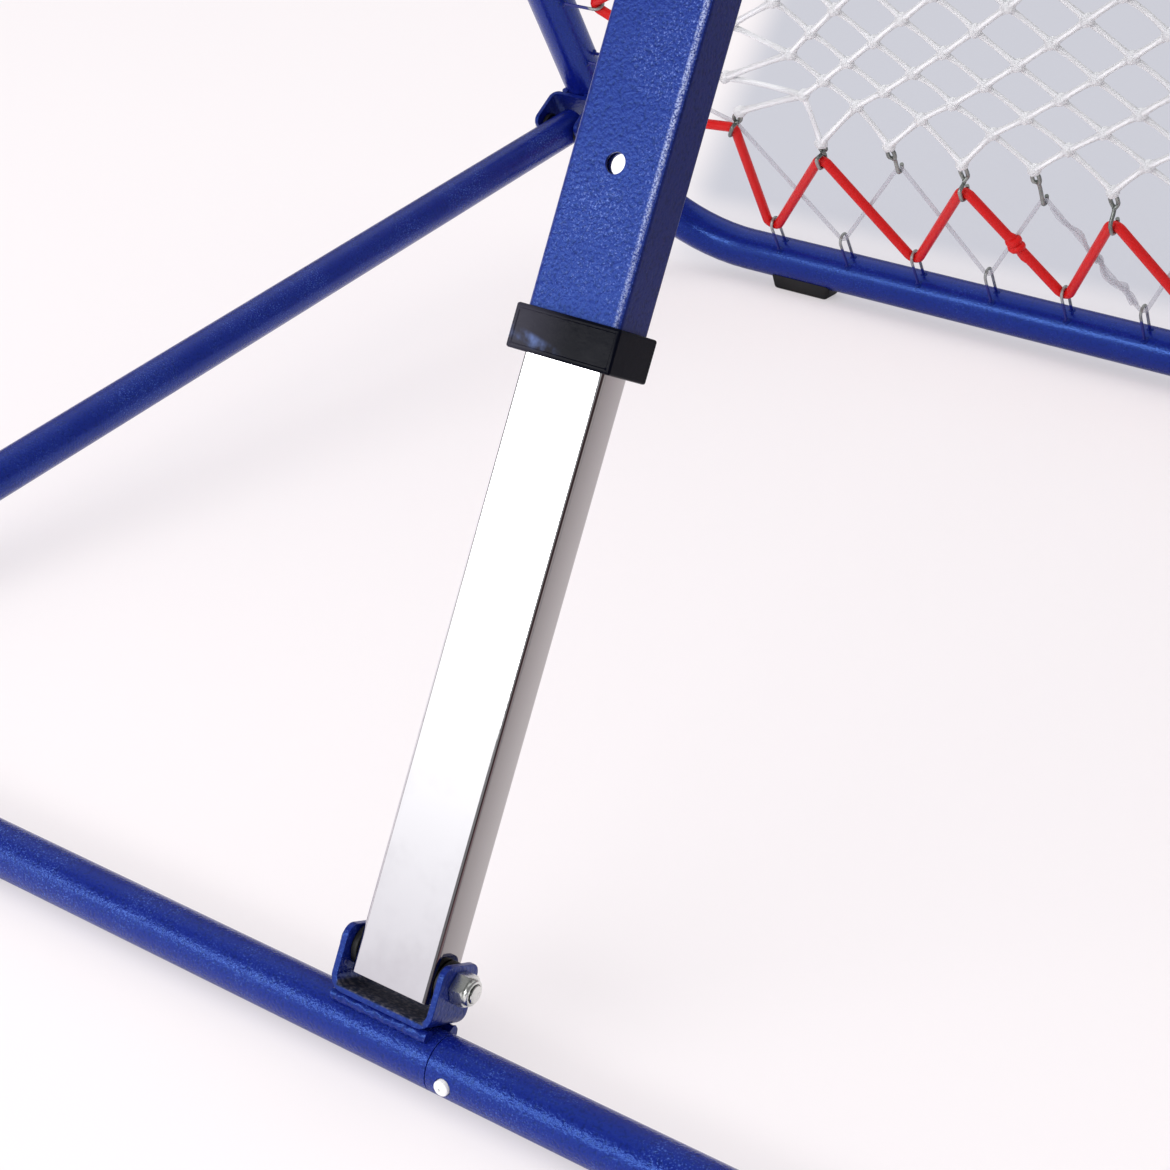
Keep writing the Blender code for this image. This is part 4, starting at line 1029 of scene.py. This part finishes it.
def hexagon(height, centre_x, cone_ends):
    """A hex prism along X with its corners turned off."""
    item = cylinder(FLATS / math.sqrt(3), height, (centre_x, 0, 0), ALONG_X, 6)
    barrel = cylinder(FLATS / math.sqrt(3) + 0.0002, height + 0.0002, (centre_x, 0, 0),
                      ALONG_X, 48)
    edit(barrel)
    pick(barrel, "EDGE", lambda middle, part: part.calc_face_angle(0) > 1.0
         and (middle.x - centre_x) * cone_ends >= -1e-6)
    bpy.ops.mesh.bevel(offset=0.0011, segments=1)
    leave()
    cut(item, barrel, "INTERSECT")
    return item


def model_bolt(grip, side):
    """A hex bolt along X through a width to grip, its head on one side."""
    face = grip / 2 + GAP
    head = hexagon(HEAD_HEIGHT, side * (face + HEAD_HEIGHT / 2), side)
    end = -side * (face + NUT_HEIGHT + 0.0028)
    start = side * face
    shank = cylinder(BOLT_R * 0.94, abs(end - start), ((start + end) / 2, 0, 0), ALONG_X, 24)
    edit(shank)
    pick(shank, "FACE", lambda middle, part: abs(middle.x - end) < 1e-5)
    bpy.ops.mesh.inset(thickness=0.0006)
    bpy.ops.transform.translate(value=(-side * 0.0003, 0, 0))
    leave()
    rings = []
    for count in range(7):
        x = end + side * (0.0006 + count * THREAD_PITCH)
        rings.append(primitive(bpy.ops.mesh.primitive_torus_add, major_segments=24,
                               minor_segments=6, major_radius=BOLT_R - THREAD_RADIUS,
                               minor_radius=THREAD_RADIUS, location=(x, 0, 0),
                               rotation=(0, math.pi / 2, 0.10)))
    return join([head, shank] + rings)


def model_nut(grip, side):
    """A hex nut with the domed collar that holds its nylon ring."""
    face = grip / 2 + GAP
    body = hexagon(NUT_HEIGHT, side * (face + NUT_HEIGHT / 2), side)
    collar_x = side * (face + 0.0067)
    nylon_collar = cylinder(0.0059, 0.0030, (collar_x, 0, 0), ALONG_X, 32)
    edit(nylon_collar)
    pick(nylon_collar, "EDGE", lambda middle, part: part.calc_face_angle(0) > 1.0
         and (middle.x - collar_x) * side > 0)
    bpy.ops.mesh.bevel(offset=0.0012, segments=4)
    leave()
    cut(body, nylon_collar, "UNION")
    cut(body, cylinder(BOLT_R + GAP, 0.06, (side * face, 0, 0), ALONG_X))
    round_edges(body, 0.0002, 2, 30)
    return body


def model_washer(x):
    item = cylinder(0.0091, SPACER, (x, 0, 0), ALONG_X, 40)
    cut(item, cylinder(BOLT_HOLE_R, 0.02, (x, 0, 0), ALONG_X))
    round_edges(item, 0.0005, 3, 50)
    return item


def pivot_set(prefix, body, matrix, tube_width, head_side):
    """A bolt, its nut and the two washers that keep a tube from its bracket's ears."""
    grip = tube_width + 2 * (SPACER + 2 * GAP) + 2 * PLATE
    bolt = carry(model_bolt(grip, head_side), matrix)
    finish_piece(bolt, prefix + "_pivot_bolt", body, zinc, [prefix + "_bolt"], 30)
    nut = carry(model_nut(grip, -head_side), matrix)
    finish_piece(nut, prefix + "_pivot_nut", body, zinc, [prefix + "_nut"], 30)
    for word, side in (("left", -1), ("right", 1)):
        washer = carry(model_washer(side * (tube_width / 2 + GAP + SPACER / 2)), matrix)
        finish_piece(washer, prefix + "_washer_" + word, body, black_nylon,
                     [prefix + "_spacer_" + word])


pivot_set("foot", "base", IN_STRUT, 2 * INNER_X, -1)
pivot_set("top", "net_frame", AT_TOP, 2 * OUTER_X, -1)
pivot_set("left_hinge", "net_frame", HINGE_AT["left"], 2 * BASE_R, -1)
pivot_set("right_hinge", "net_frame", HINGE_AT["right"], 2 * BASE_R, 1)
print("four pivots")

# %% [markdown]
# The strut: a chrome tube slides in a blue one. Both start as a box with its long edges
# bevelled round and its ends taken off, which Solidify turns into a drawn rectangular tube.

# %% Strut tubes
LOCK_HOLE = COLLAR_FROM_FOOT + 0.1617
LOCK_HOLE_R = 0.0045
HOLE_PITCH = 0.080
WALL = 0.0015
TOP_HOLE_R = 0.0060


def model_rectangle_tube(width, depth, corner, start, end):
    """A drawn tube along Z with rounded corners."""
    item = block((width, depth, end - start), (0, 0, (start + end) / 2))
    edit(item)
    pick(item, "FACE", lambda middle, part: abs(part.normal.z) > 0.9)
    bpy.ops.mesh.delete(type="FACE")
    pick(item, "EDGE", lambda middle, part: abs(part.verts[0].co.z - part.verts[1].co.z) > 0.1)
    bpy.ops.mesh.bevel(offset=corner, segments=6)
    leave()
    apply_modifier(item, "SOLIDIFY", thickness=WALL, offset=-1.0, use_even_offset=True)
    outward(item)
    return item


inner = model_rectangle_tube(2 * INNER_X, 2 * INNER_Y, 0.0025, -0.0099, LOCK_HOLE + 0.042)
cut(inner, cylinder(BOLT_HOLE_R, 0.08, (0, 0, 0), ALONG_X))
cut(inner, cylinder(LOCK_HOLE_R, 0.02, (0, -INNER_Y, LOCK_HOLE), ALONG_Y))
round_edges(inner, 0.00025, 2, 60)
carry(inner, IN_STRUT)
finish_piece(inner, "chrome_strut_tube", "strut_inner", chrome,
             ["strut_inner_tube"], 30)

outer = model_rectangle_tube(2 * OUTER_X, 2 * OUTER_Y, 0.0030, COLLAR_FROM_FOOT + 0.0033,
                             STRUT_LENGTH + 0.010)
cut(outer, cylinder(TOP_HOLE_R, 0.09, (0, 0, STRUT_LENGTH), ALONG_X))
for count in (-1, 0, 1):
    cut(outer, cylinder(LOCK_HOLE_R, 0.02, (0, -OUTER_Y, LOCK_HOLE + count * HOLE_PITCH),
                        ALONG_Y))
round_edges(outer, 0.0003, 2, 60)
carry(outer, IN_STRUT)
finish_piece(outer, "blue_strut_tube", "strut_outer", blue_strut_lit,
             ["strut_outer_tube"], 30)
# The narrow sides take the darker copy of the coat, which is painted shade.
outer.data.materials.append(blue_strut_shaded_side)
SIDEWAYS = IN_STRUT.to_3x3() @ Vector((1, 0, 0))
for part in outer.data.polygons:
    part.material_index = 1 if abs(part.normal.dot(SIDEWAYS)) > 0.80 else 0

# %% [markdown]
# The collar is a moulded cap on the blue tube's lower end. A box is bevelled, and its two
# wide sides are inset and pressed in a little, which leaves the raised border that the real
# moulding has. The tubes' passages are cut last.

# %% Collar
COLLAR_HEIGHT = 0.0188
COLLAR_WALL = 0.0029
POCKET_FLOOR = COLLAR_FROM_FOOT + 0.003    # the blue tube stands on it
COLLAR_SIZE = (2 * (OUTER_X + COLLAR_WALL), 2 * (OUTER_Y + COLLAR_WALL), COLLAR_HEIGHT)


def model_collar():
    item = block(COLLAR_SIZE, (0, 0, COLLAR_FROM_FOOT + COLLAR_HEIGHT / 2))
    edit(item)
    pick(item, "FACE", lambda middle, part: abs(part.normal.y) > 0.9)
    bpy.ops.mesh.inset(thickness=0.0019, use_individual=True)
    bpy.ops.mesh.inset(thickness=0.0004, depth=-0.00045, use_individual=True)
    leave()
    round_edges(item, 0.0011, 3, 60)
    passage = block((2 * (INNER_X + GAP), 2 * (INNER_Y + GAP), 0.06), (0, 0, COLLAR_FROM_FOOT))
    pocket = block((2 * (OUTER_X + GAP), 2 * (OUTER_Y + GAP), 0.04),
                   (0, 0, POCKET_FLOOR + 0.02))
    for tool, corner in ((passage, 0.0025), (pocket, 0.0030)):
        edit(tool)
        pick(tool, "EDGE", lambda middle, part:
             abs(part.verts[0].co.z - part.verts[1].co.z) > 0.02)
        bpy.ops.mesh.bevel(offset=corner, segments=4)
        leave()
        cut(item, tool)
    return item


collar = carry(model_collar(), IN_STRUT)
finish_piece(collar, "strut_collar_moulding", "strut_outer", black_collar,
             ["strut_collar"], 40)

# %% [markdown]
# Snap buttons are small domes with a dimple in the middle. The cap of a cylinder is inset
# again and again, and lifted a little less each time. The outer tube's wall pushes the
# strut's button in when the strut slides.

# %% Snap buttons
SHOULDER = 0.0012
SLEEVE_WALL = 0.0015
SPLICE_BUTTON = (0.0036, 0.0022)    # radius, and how far the dome stands out of the tube
LOCK_BUTTON = (0.0042, 0.0030)
LOCK_BORE = 0.0085
LOCK_PLACE = IN_STRUT @ Vector((0, 0, LOCK_HOLE))
LOCK_FACING = IN_STRUT.to_3x3() @ Vector((0, -1, 0))
SPLICES = {"base": ("base", BASE_R, BASE_WALL, CROSSBAR, Vector((0, -1, 0))),
           "frame_top": ("net_frame", FRAME_R, FRAME_WALL, TOP_RAIL, -OUT),
           "frame_bottom": ("net_frame", FRAME_R, FRAME_WALL, RAIL, -UP)}


def model_button(radius, top, under, rise):
    """A domed pin along Z, with a shoulder under the wall."""
    dome = rise * 0.6
    item = cylinder(radius, top - dome - under, (0, 0, (top - dome + under) / 2), sides=40)
    edit(item)
    pick(item, "FACE", lambda middle, part: part.normal.z > 0.9)
    last_radius, last_height = radius, 0.0
    for degrees in (20, 40, 58, 74):
        new_radius = radius * math.cos(math.radians(degrees))
        height = dome * math.sin(math.radians(degrees))
        bpy.ops.mesh.inset(thickness=last_radius - new_radius, depth=height - last_height)
        last_radius, last_height = new_radius, height
    bpy.ops.mesh.inset(thickness=last_radius - 0.00075, depth=0.0)
    bpy.ops.mesh.inset(thickness=0.0001, depth=-0.0012)
    pick(item, "FACE", lambda middle, part: part.normal.z < -0.9)
    bpy.ops.mesh.extrude_region_shrink_fatten(TRANSFORM_OT_shrink_fatten={"value": -0.00001})
    wider = 1 + SHOULDER / radius
    bpy.ops.transform.resize(value=(wider, wider, 1))
    extrude((0, 0, -SHOULDER))
    leave()
    outward(item)
    return item


def seated(place, along, facing):
    """A frame with X along the tube and Z where the button points."""
    turn = Matrix((along, facing.cross(along), facing)).transposed()
    return Matrix.Translation(place) @ turn.to_4x4()


def splice_bore(tube_r, wall):
    """From the axis to the flats inside the sleeve that joins two tube halves."""
    return (tube_r - wall - GAP - SLEEVE_WALL) * math.cos(math.pi / 12)


def splice_seat(tube_r, wall):
    """From the axis to the shoulder of a splice's button."""
    return math.sqrt(splice_bore(tube_r, wall) ** 2 - 0.0052 ** 2) - GAP


def snap_piece(name, node, body, matrix, surface, under, size):
    radius, rise = size
    item = carry(model_button(radius, surface + rise, under, rise), matrix)
    return finish_piece(item, name, body, button_white, [node], 40)


SPLICE_AT = {}
for prefix, (body, tube_r, wall, place, facing) in SPLICES.items():
    SPLICE_AT[prefix] = seated(place + BUTTON_X, Vector((1, 0, 0)), facing)
    snap_piece(prefix + "_snap_button", prefix + "_splice_button", prefix + "_button",
               SPLICE_AT[prefix], tube_r, splice_seat(tube_r, wall), SPLICE_BUTTON)
LOCK_AT = seated(LOCK_PLACE, IN_STRUT.to_3x3() @ Vector((0, 0, -1)), LOCK_FACING)
lock_pin = snap_piece("strut_lock_pin", "strut_button", "strut_lock_button", LOCK_AT, OUTER_Y,
                      LOCK_BORE - GAP, LOCK_BUTTON)
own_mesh(lock_pin)

# %% [markdown]
# Under each button lies a leaf spring, a strip bent back like a hairpin. The outline of the
# strip's end is extruded along the upper leg, spun round the loop and extruded back.

# %% Leaf springs
STRIP, STRIP_WIDTH = 0.0006, 0.0060
LEAF_LENGTH, LEAF_TIP = 0.0320, 0.0040


def model_leaf(low, high):
    """A hairpin in the plane of X and Z, from the high leg round its loop to the low one."""
    loop = (high - low) * 0.18
    turn_at = LEAF_LENGTH - loop
    middle = (high + low) / 2
    item = primitive(bpy.ops.mesh.primitive_plane_add, (STRIP, STRIP_WIDTH, 1), size=1,
                     location=(-LEAF_TIP, 0, high), rotation=ALONG_X)
    edit(item)
    bpy.ops.mesh.select_all(action="SELECT")
    bpy.ops.mesh.delete(type="ONLY_FACE")
    bpy.ops.mesh.select_all(action="SELECT")
    extrude((2 * LEAF_TIP, 0, 0))
    extrude((turn_at - LEAF_TIP, 0, middle + loop - high))
    bend((turn_at, 0, middle), (0, 1, 0), 180, 10)
    extrude((-LEAF_TIP - turn_at, 0, low - middle + loop))
    bpy.ops.mesh.select_all(action="SELECT")
    bpy.ops.mesh.fill_holes(sides=4)
    leave()
    outward(item)
    return item


def leaf_piece(name, node, body, matrix, under, opposite):
    """A leaf between a button's shoulder and the wall opposite, both from the tube's axis."""
    high = under - SHOULDER - GAP - STRIP / 2
    low = opposite + GAP + STRIP / 2
    item = carry(model_leaf(low, high), matrix)
    finish_piece(item, name, body, spring_steel, [node], 40)
    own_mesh(item)


for prefix, (body, tube_r, wall, place, facing) in SPLICES.items():
    opposite = -math.sqrt(splice_bore(tube_r, wall) ** 2 - (STRIP_WIDTH / 2) ** 2)
    leaf_piece(prefix + "_leaf_spring", prefix + "_splice_spring", body,
               SPLICE_AT[prefix],
               splice_seat(tube_r, wall), opposite)
leaf_piece("strut_leaf_spring", "strut_button_spring", "strut_inner",
           LOCK_AT, LOCK_BORE - GAP, -LOCK_BORE)
print("four buttons on their leaf springs")

# %% [markdown]
# A rubber foot is saddled under the bottom rail on each side. A box gets its edges rounded
# and is drawn in at the floor, and the rail's own round is cut out of its top.

# %% Rubber feet
FOOT_X = 0.332


def model_foot(side):
    """A block of rubber from the floor up to the rail, saddled to its round."""
    length, width, height = 0.054, 0.024, 0.015
    item = block((length, width, height), (side * FOOT_X, RAIL.y, height / 2))
    edit(item)
    pick(item, "FACE", lambda middle, part: part.normal.z < -0.9)
    bpy.ops.transform.resize(value=(0.86, 0.84, 1),
                             center_override=(side * FOOT_X, RAIL.y, 0))
    leave()
    round_edges(item, 0.0028, 4, 30)
    cut(item, cylinder(FRAME_R + GAP, 0.2, (side * FOOT_X, RAIL.y, RAIL.z), ALONG_X, 96))
    return item


for word, side in (("left", -1), ("right", 1)):
    finish_piece(model_foot(side), "rubber_foot_" + word, "net_frame", rubber,
                 [word + "_rubber_foot"], 40)

# %% [markdown]
# The net. Its knots lie on a lattice whose sides curve in between the corners. In one
# diagonal direction the twine is thick and taut, in the other thin, as the real net shows.
# Each line of twine is a curve through its knots, wider where it passes one, and a small
# lump of twine stands for each knot.

# %% Net lattice
LAST = 2 * EYE_STEPS
NET_EDGE, NET_CORNER = 0.170, 0.147
SIDE_PULL = 0.050
CORNER_KNOT = (0.3468, 0.3161)
NET_STEP = (HALF - NET_EDGE) / LAST
NET_SPREAD = (NET_EDGE - NET_CORNER) / LAST ** 3


def from_middle(count, other):
    """How far a row lies from the middle; the last row is pulled about by its hooks."""
    if abs(count) == LAST:
        reach = HALF - NET_EDGE + NET_SPREAD * LAST * other ** 2
        if abs(other) < LAST:
            reach -= 0.0055 if (other / 2) % 2 == 0 else -0.0020
        return math.copysign(reach, count)
    spread = count * NET_SPREAD * other ** 2
    if abs(other) == LAST:
        return count * NET_STEP + spread
    ripple = math.copysign(0.0050 * (abs(count) / (LAST - 1)) ** 6, count)
    return count * NET_STEP + spread * (1 - (count / (LAST - 1)) ** 4) - ripple


def pulled_wide(x):
    """The side hooks draw the last meshes further out than those above and below do."""
    return x * (1 + SIDE_PULL * abs(x / 0.332) ** 12)


def knot_place(column, row):
    if abs(column) == LAST and abs(row) == LAST:
        return Vector((math.copysign(CORNER_KNOT[0], column),
                       math.copysign(CORNER_KNOT[1], row), 0))
    return Vector((pulled_wide(from_middle(column, row)), from_middle(row, column), 0))


def is_knot(column, row):
    return abs(column) <= LAST and abs(row) <= LAST and (column + row) % 2 == 0


def lattice_lines(rise):
    """Knots along each diagonal line, going right and up (rise 1) or right and down (-1)."""
    lines = []
    for column in range(-LAST, LAST + 1):
        for row in range(-LAST, LAST + 1):
            if is_knot(column, row) and not is_knot(column - 1, row - rise):
                line = [(column, row)]
                while is_knot(line[-1][0] + 1, line[-1][1] + rise):
                    line.append((line[-1][0] + 1, line[-1][1] + rise))
                if len(line) > 1:
                    lines.append(line)
    return lines


def curve_piece(name, lines, radius, closed=False, resolution=2):
    """One mesh tube through each line of (point, width) pairs, with UVs along its length."""
    curve = bpy.data.curves.new(name, "CURVE")
    curve.dimensions = "3D"
    curve.bevel_depth = radius
    curve.bevel_resolution = resolution
    curve.use_fill_caps = not closed
    for line in lines:
        spline = curve.splines.new("POLY")
        spline.points.add(len(line) - 1)
        for point, (place, width) in zip(spline.points, line):
            point.co = (*place, 1.0)
            point.radius = width
        spline.use_cyclic_u = closed
    item = bpy.data.objects.new(name, curve)
    bpy.context.scene.collection.objects.link(item)
    select_only(item)
    bpy.ops.object.convert(target="MESH")
    item = bpy.context.active_object
    outward(item)
    return item


def twine_line(line, sag):
    """Points and widths of one line of twine, which swells at its knots and sags between."""
    points = []
    for index, (column, row) in enumerate(line[:-1]):
        start = knot_place(column, row)
        end = knot_place(*line[index + 1])
        along = (end - start).normalized()
        across = Vector((-along.y, along.x, 0))
        for part in range(6):
            share = part / 6
            wander = math.sin(math.pi * share) * sag
            drift = noise.noise(Vector((column * 3.1, row * 2.7, sag * 900))) * wander
            lift = -abs(math.sin(math.pi * share)) * sag * 0.4
            place = start.lerp(end, share) + across * drift + Vector((0, 0, lift))
            width = 1.0 + 0.45 * abs(math.cos(math.pi * share)) ** 6
            points.append((place, width))
    points.append((knot_place(*line[-1]), 1.3))
    return points


def model_knot():
    """A lump of twine, dented unevenly."""
    item = primitive(bpy.ops.mesh.primitive_ico_sphere_add, (1.25, 0.95, 0.95),
                     subdivisions=2, radius=0.0046, rotation=(0, 0, math.radians(45)))
    for vertex in item.data.vertices:
        vertex.co *= 1.0 + 0.22 * noise.noise(vertex.co * 700.0)
    return item


THICK, THIN = 0.0022, 0.0018
thick_lines = [twine_line(line, 0.0008) for line in lattice_lines(1)]
thin_lines = [twine_line(line, 0.0022) for line in lattice_lines(-1)]
thick = curve_piece("twine_thick", thick_lines, THICK)
thin = curve_piece("twine_thin", thin_lines, THIN)
knot = model_knot()
knots = []
for column in range(-LAST, LAST + 1):
    for row in range(-LAST, LAST + 1):
        if is_knot(column, row):
            spot = knot_place(column, row)
            swing = noise.noise(Vector((column * 1.7, row * 1.3, 0.5))) * 0.8
            turn = Matrix.Rotation(swing, 4, "Z")
            knots.append(copy_to(knot, Matrix.Translation(spot) @ turn))
discard(knot)
print(len(thick_lines), "thick lines,", len(thin_lines), "thin lines,", len(knots), "knots")
net_piece = carry(join([thick, thin] + knots), IN_NET)
finish_piece(net_piece, "knotted_net", "net_frame", net_twine, ["net"], 60)

# %% [markdown]
# The cords. A red elastic and a thinner clear one each run in a zigzag round the whole
# frame: the red through every second wire eye and the hook opposite the next eye, the clear
# one the other way about. Each is a ring that touches every wire, so its path is worked out
# as tangent lines between small circles, and then becomes a round tube.

# %% Cord paths
RED, WHITE = 0.0074, 0.0032
HOOK_WIRE = 0.0022
HOOK_BOW = 0.1335
SIDE_BOW = 0.1185
CORNER_CORD = (0.3566, 0.3354)
HOOK_LEAN = 0.0052


def held_by_red(step):
    """Whether a hook belongs to the red cord; the eye opposite it then holds the clear one."""
    return step % 2 == 1


def corner_of(pair, quarter):
    """A corner's place in the frame of one side; the sides lie turned by a quarter."""
    wide, high = pair if quarter % 2 == 0 else (pair[1], pair[0])
    return Vector((-wide, -high, 0))


def bow_of(quarter):
    return HOOK_BOW if quarter % 2 == 0 else SIDE_BOW


def hook_tip(step, quarter):
    """The net's knot that a hook holds, in the frame of its side."""
    if quarter % 2 == 0:
        return knot_place(2 * step, -LAST)
    return Vector((from_middle(2 * step, LAST), -pulled_wide(from_middle(LAST, 2 * step)), 0))


def cord_wires(red):
    """Each wire that a cord bends round: place, side it passes on, distance, height."""
    diameter = RED if red else WHITE
    corner_height = (WHITE + GAP) / 2 if red else -(RED + GAP) / 2
    hook_height = HOOK_LEAN if red else -HOOK_LEAN
    at_hook = (diameter + HOOK_WIRE) / 2 + GAP
    at_eye = (diameter + EYE_WIRE) / 2 + GAP
    wires = []
    for quarter in range(4):
        turn = Matrix.Rotation(math.pi / 2 * quarter, 4, "Z")
        bend_wire = corner_of(CORNER_CORD, quarter) - Vector((1, 1, 0)).normalized() * at_hook
        side = [(bend_wire, (1, 1, 0), at_hook, corner_height)]
        for step in range(-EYE_STEPS, EYE_STEPS + 1):
            if held_by_red(step) != red:
                side.append(((eye_place(step), -HALF + EYE_CROWN, 0), (0, -1, 0), at_eye, 0.0))
            elif abs(step) < EYE_STEPS:
                x = hook_tip(step, quarter).x
                side.append(((x, -HALF + bow_of(quarter), 0), (0, 1, 0), at_hook, hook_height))
        for place, outward_side, distance, height in side:
            wires.append((turn @ Vector(place), (turn @ Vector(outward_side)).normalized(),
                          distance, height))
    return wires


def square_to(leg, outward_side):
    across = Vector((-leg.y, leg.x, 0)).normalized()
    return across if across.dot(outward_side) > 0 else -across


def cord_path(red):
    """Points of the whole ring, with the arcs round the wires drawn out."""
    wires = cord_wires(red)
    count = len(wires)
    seats = [[place, place] for place, _, _, _ in wires]
    for _ in range(5):
        for index, (place, side, distance, _) in enumerate(wires):
            arriving = seats[index][0] - seats[index - 1][1]
            leaving = seats[(index + 1) % count][0] - seats[index][1]
            seats[index] = [place + square_to(arriving, side) * distance,
                            place + square_to(leaving, side) * distance]
    points = []
    for index, (place, side, distance, height) in enumerate(wires):
        first = (seats[index][0] - place).normalized()
        last = (seats[index][1] - place).normalized()
        for part in range(9):
            spoke = first.lerp(last, part / 8).normalized() * distance
            points.append(place + spoke + Vector((0, 0, height)))
        following = seats[(index + 1) % count][0] + Vector((0, 0, wires[(index + 1) % count][3]))
        leaving = seats[index][1] + Vector((0, 0, height))
        for part in range(1, 8):
            points.append(leaving.lerp(following, part / 8))
    return points


def ring_length(points):
    return sum((points[i] - points[i - 1]).length for i in range(len(points)))


red_points = cord_path(True)
white_points = cord_path(False)
print("red ring", round(ring_length(red_points), 3), "clear ring",
      round(ring_length(white_points), 3))
red_cord = curve_piece("red_cord", [[(p, 1.0) for p in red_points]], RED / 2, True, 5)
carry(red_cord, IN_NET)
finish_piece(red_cord, "red_elastic_cord", "net_frame", red_rubber,
             ["red_elastic"], 80)
white_cord = curve_piece("clear_cord", [[(p, 1.0) for p in white_points]], WHITE / 2, True, 4)
carry(white_cord, IN_NET)
finish_piece(white_cord, "clear_elastic_cord", "net_frame", pale_rubber,
             ["white_elastic"], 80)

# %% [markdown]
# Wire hooks join net and cords. Each is one wire: squeezed to a narrow loop round the net's
# knot, then down past the cord on the near side and curled under it. One is bent for each
# cord, and copied round the frame.

# %% Wire hooks


def hook_points(cord_diameter, reach, drop):
    """From the knot to the cord: X across, Y from the cord to the knot, Z off the net."""
    near = cord_diameter / 2 + HOOK_WIRE / 2 + GAP
    wide = 0.0027
    top = reach - 0.0026
    low = max(top - 0.0125, near * 1.1)
    span_up = top - low
    loop = [(0, low + 0.0006, drop * 0.6 + 0.0012), (wide * 0.8, low + span_up * 0.22, drop),
            (wide, low + span_up * 0.55, drop), (wide * 0.75, top - span_up * 0.12, drop),
            (0, top, drop), (-wide * 0.75, top - span_up * 0.12, drop),
            (-wide, low + span_up * 0.55, drop), (-wide * 0.8, low + span_up * 0.22, drop),
            (0, low - 0.0008, drop * 0.6)]
    shank = [(0, near * 1.4, near * 0.95), (0, near * 0.5, near * 1.02),
             (0, -near * 0.45, near * 0.92), (0, -near * 0.98, near * 0.25),
             (0, -near * 0.90, -near * 0.50), (0, -near * 0.30, -near * 0.98),
             (0, near * 0.35, -near * 1.05)]
    return [Vector(point) for point in loop + shank]


def smooth_line(points, steps=3):
    """Points of a Catmull-Rom curve through the given ones."""
    line = []
    for index in range(len(points) - 1):
        before = points[max(index - 1, 0)]
        start, end = points[index], points[index + 1]
        after = points[min(index + 2, len(points) - 1)]
        for part in range(steps):
            t = part / steps
            line.append(0.5 * (2 * start + (end - before) * t
                               + (2 * before - 5 * start + 4 * end - after) * t ** 2
                               + (3 * start - before - 3 * end + after) * t ** 3))
    line.append(points[-1])
    return line


def hook_piece(cord_diameter, reach, drop):
    line = [(point, 1.0) for point in smooth_line(hook_points(cord_diameter, reach, drop))]
    return curve_piece("hook", [line], 0.00150, False, 2)


hooks = []
for quarter in range(4):
    turn = Matrix.Rotation(math.pi / 2 * quarter, 4, "Z")
    for step in range(-EYE_STEPS + 1, EYE_STEPS):
        red = held_by_red(step)
        diameter = RED if red else WHITE
        lean = HOOK_LEAN if red else -HOOK_LEAN
        tip = hook_tip(step, quarter)
        cord_y = -HALF + bow_of(quarter) + (diameter + HOOK_WIRE) / 2 + GAP
        hook = hook_piece(diameter, tip.y - cord_y, -lean)
        hook.data.transform(turn @ Matrix.Translation((tip.x, cord_y, lean)))
        hooks.append(hook)
    bow = corner_of(CORNER_CORD, quarter)
    pull = corner_of(CORNER_KNOT, quarter) - bow
    hook = hook_piece(RED + WHITE, pull.length, 0.0)
    diagonal = Matrix.Rotation(math.atan2(pull.y, pull.x) - math.pi / 2, 4, "Z")
    hook.data.transform(turn @ Matrix.Translation(bow) @ diagonal)
    hooks.append(hook)
hook_set = carry(join(hooks), IN_NET)
finish_piece(hook_set, "net_hooks", "net_frame", wire_zinc, (), 60)

# %% [markdown]
# Two details of the cords show in the photograph: a knot in the red cord's third leg, and a
# stretch where the clear cord is tied back on itself and lies double.

# %% Cord knots


def leg_between(red, index):
    """Start and end of the cord's leg after its wire with that number on the bottom side."""
    points = cord_path(red)
    return points[index * 16 + 8], points[(index + 1) * 16]


def wound(start, end, radius, turns, from_share, to_share, width, phase=0.0):
    """A helix round the leg from start to end."""
    along = (end - start).normalized()
    side = along.cross(Vector((0, 0, 1))).normalized()
    up = side.cross(along)
    line = []
    steps = int(turns * 12)
    for part in range(steps + 1):
        share = part / steps
        angle = 2 * math.pi * turns * share + phase
        swell = radius * (0.35 + 0.65 * math.sin(math.pi * min(max(share, 0.05), 0.95)))
        centre = start.lerp(end, from_share + (to_share - from_share) * share)
        line.append((centre + (side * math.cos(angle) + up * math.sin(angle)) * swell, width))
    return line


red_start, red_end = leg_between(True, 4)
knot_line = wound(red_start, red_end, 0.0036, 1.9, 0.455, 0.555, 1.0)
tail_up = wound(red_start, red_end, 0.0020, 0.35, 0.40, 0.50, 0.90, 2.6)
tail_down = wound(red_start, red_end, 0.0022, 0.35, 0.53, 0.66, 0.90, 5.2)
red_knot = curve_piece("red_knot", [knot_line, tail_up, tail_down], 0.0034, False, 5)
carry(red_knot, IN_NET)
finish_piece(red_knot, "red_cord_knot", "net_frame", red_rubber, (), 80)
white_start, white_end = leg_between(False, 4)
twist = [wound(white_start, white_end, 0.0030, 1.2, 0.05, 0.55, 1.0),
         wound(white_start, white_end, 0.0040, 1.7, 0.46, 0.95, 1.1, 2.6),
         wound(white_start, white_end, 0.0032, 1.1, 0.52, 0.97, 1.0, 4.4)]
clear_knot = curve_piece("clear_knot", twist, 0.0015, False, 3)
carry(clear_knot, IN_NET)
finish_piece(clear_knot, "clear_cord_knot", "net_frame", pale_rubber, (), 80)

# %% [markdown]
# The sleeves and the glide sit inside the tubes, and their CAD shapes are right as they
# are. They only take their finishes.

# %% Hidden CAD pieces
INSIDE = {"sleeve": zinc, "glide": black_nylon}
for name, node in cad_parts.items():
    for word, material in INSIDE.items():
        if name.endswith(word):
            for slot in node.material_slots:
                slot.material = material
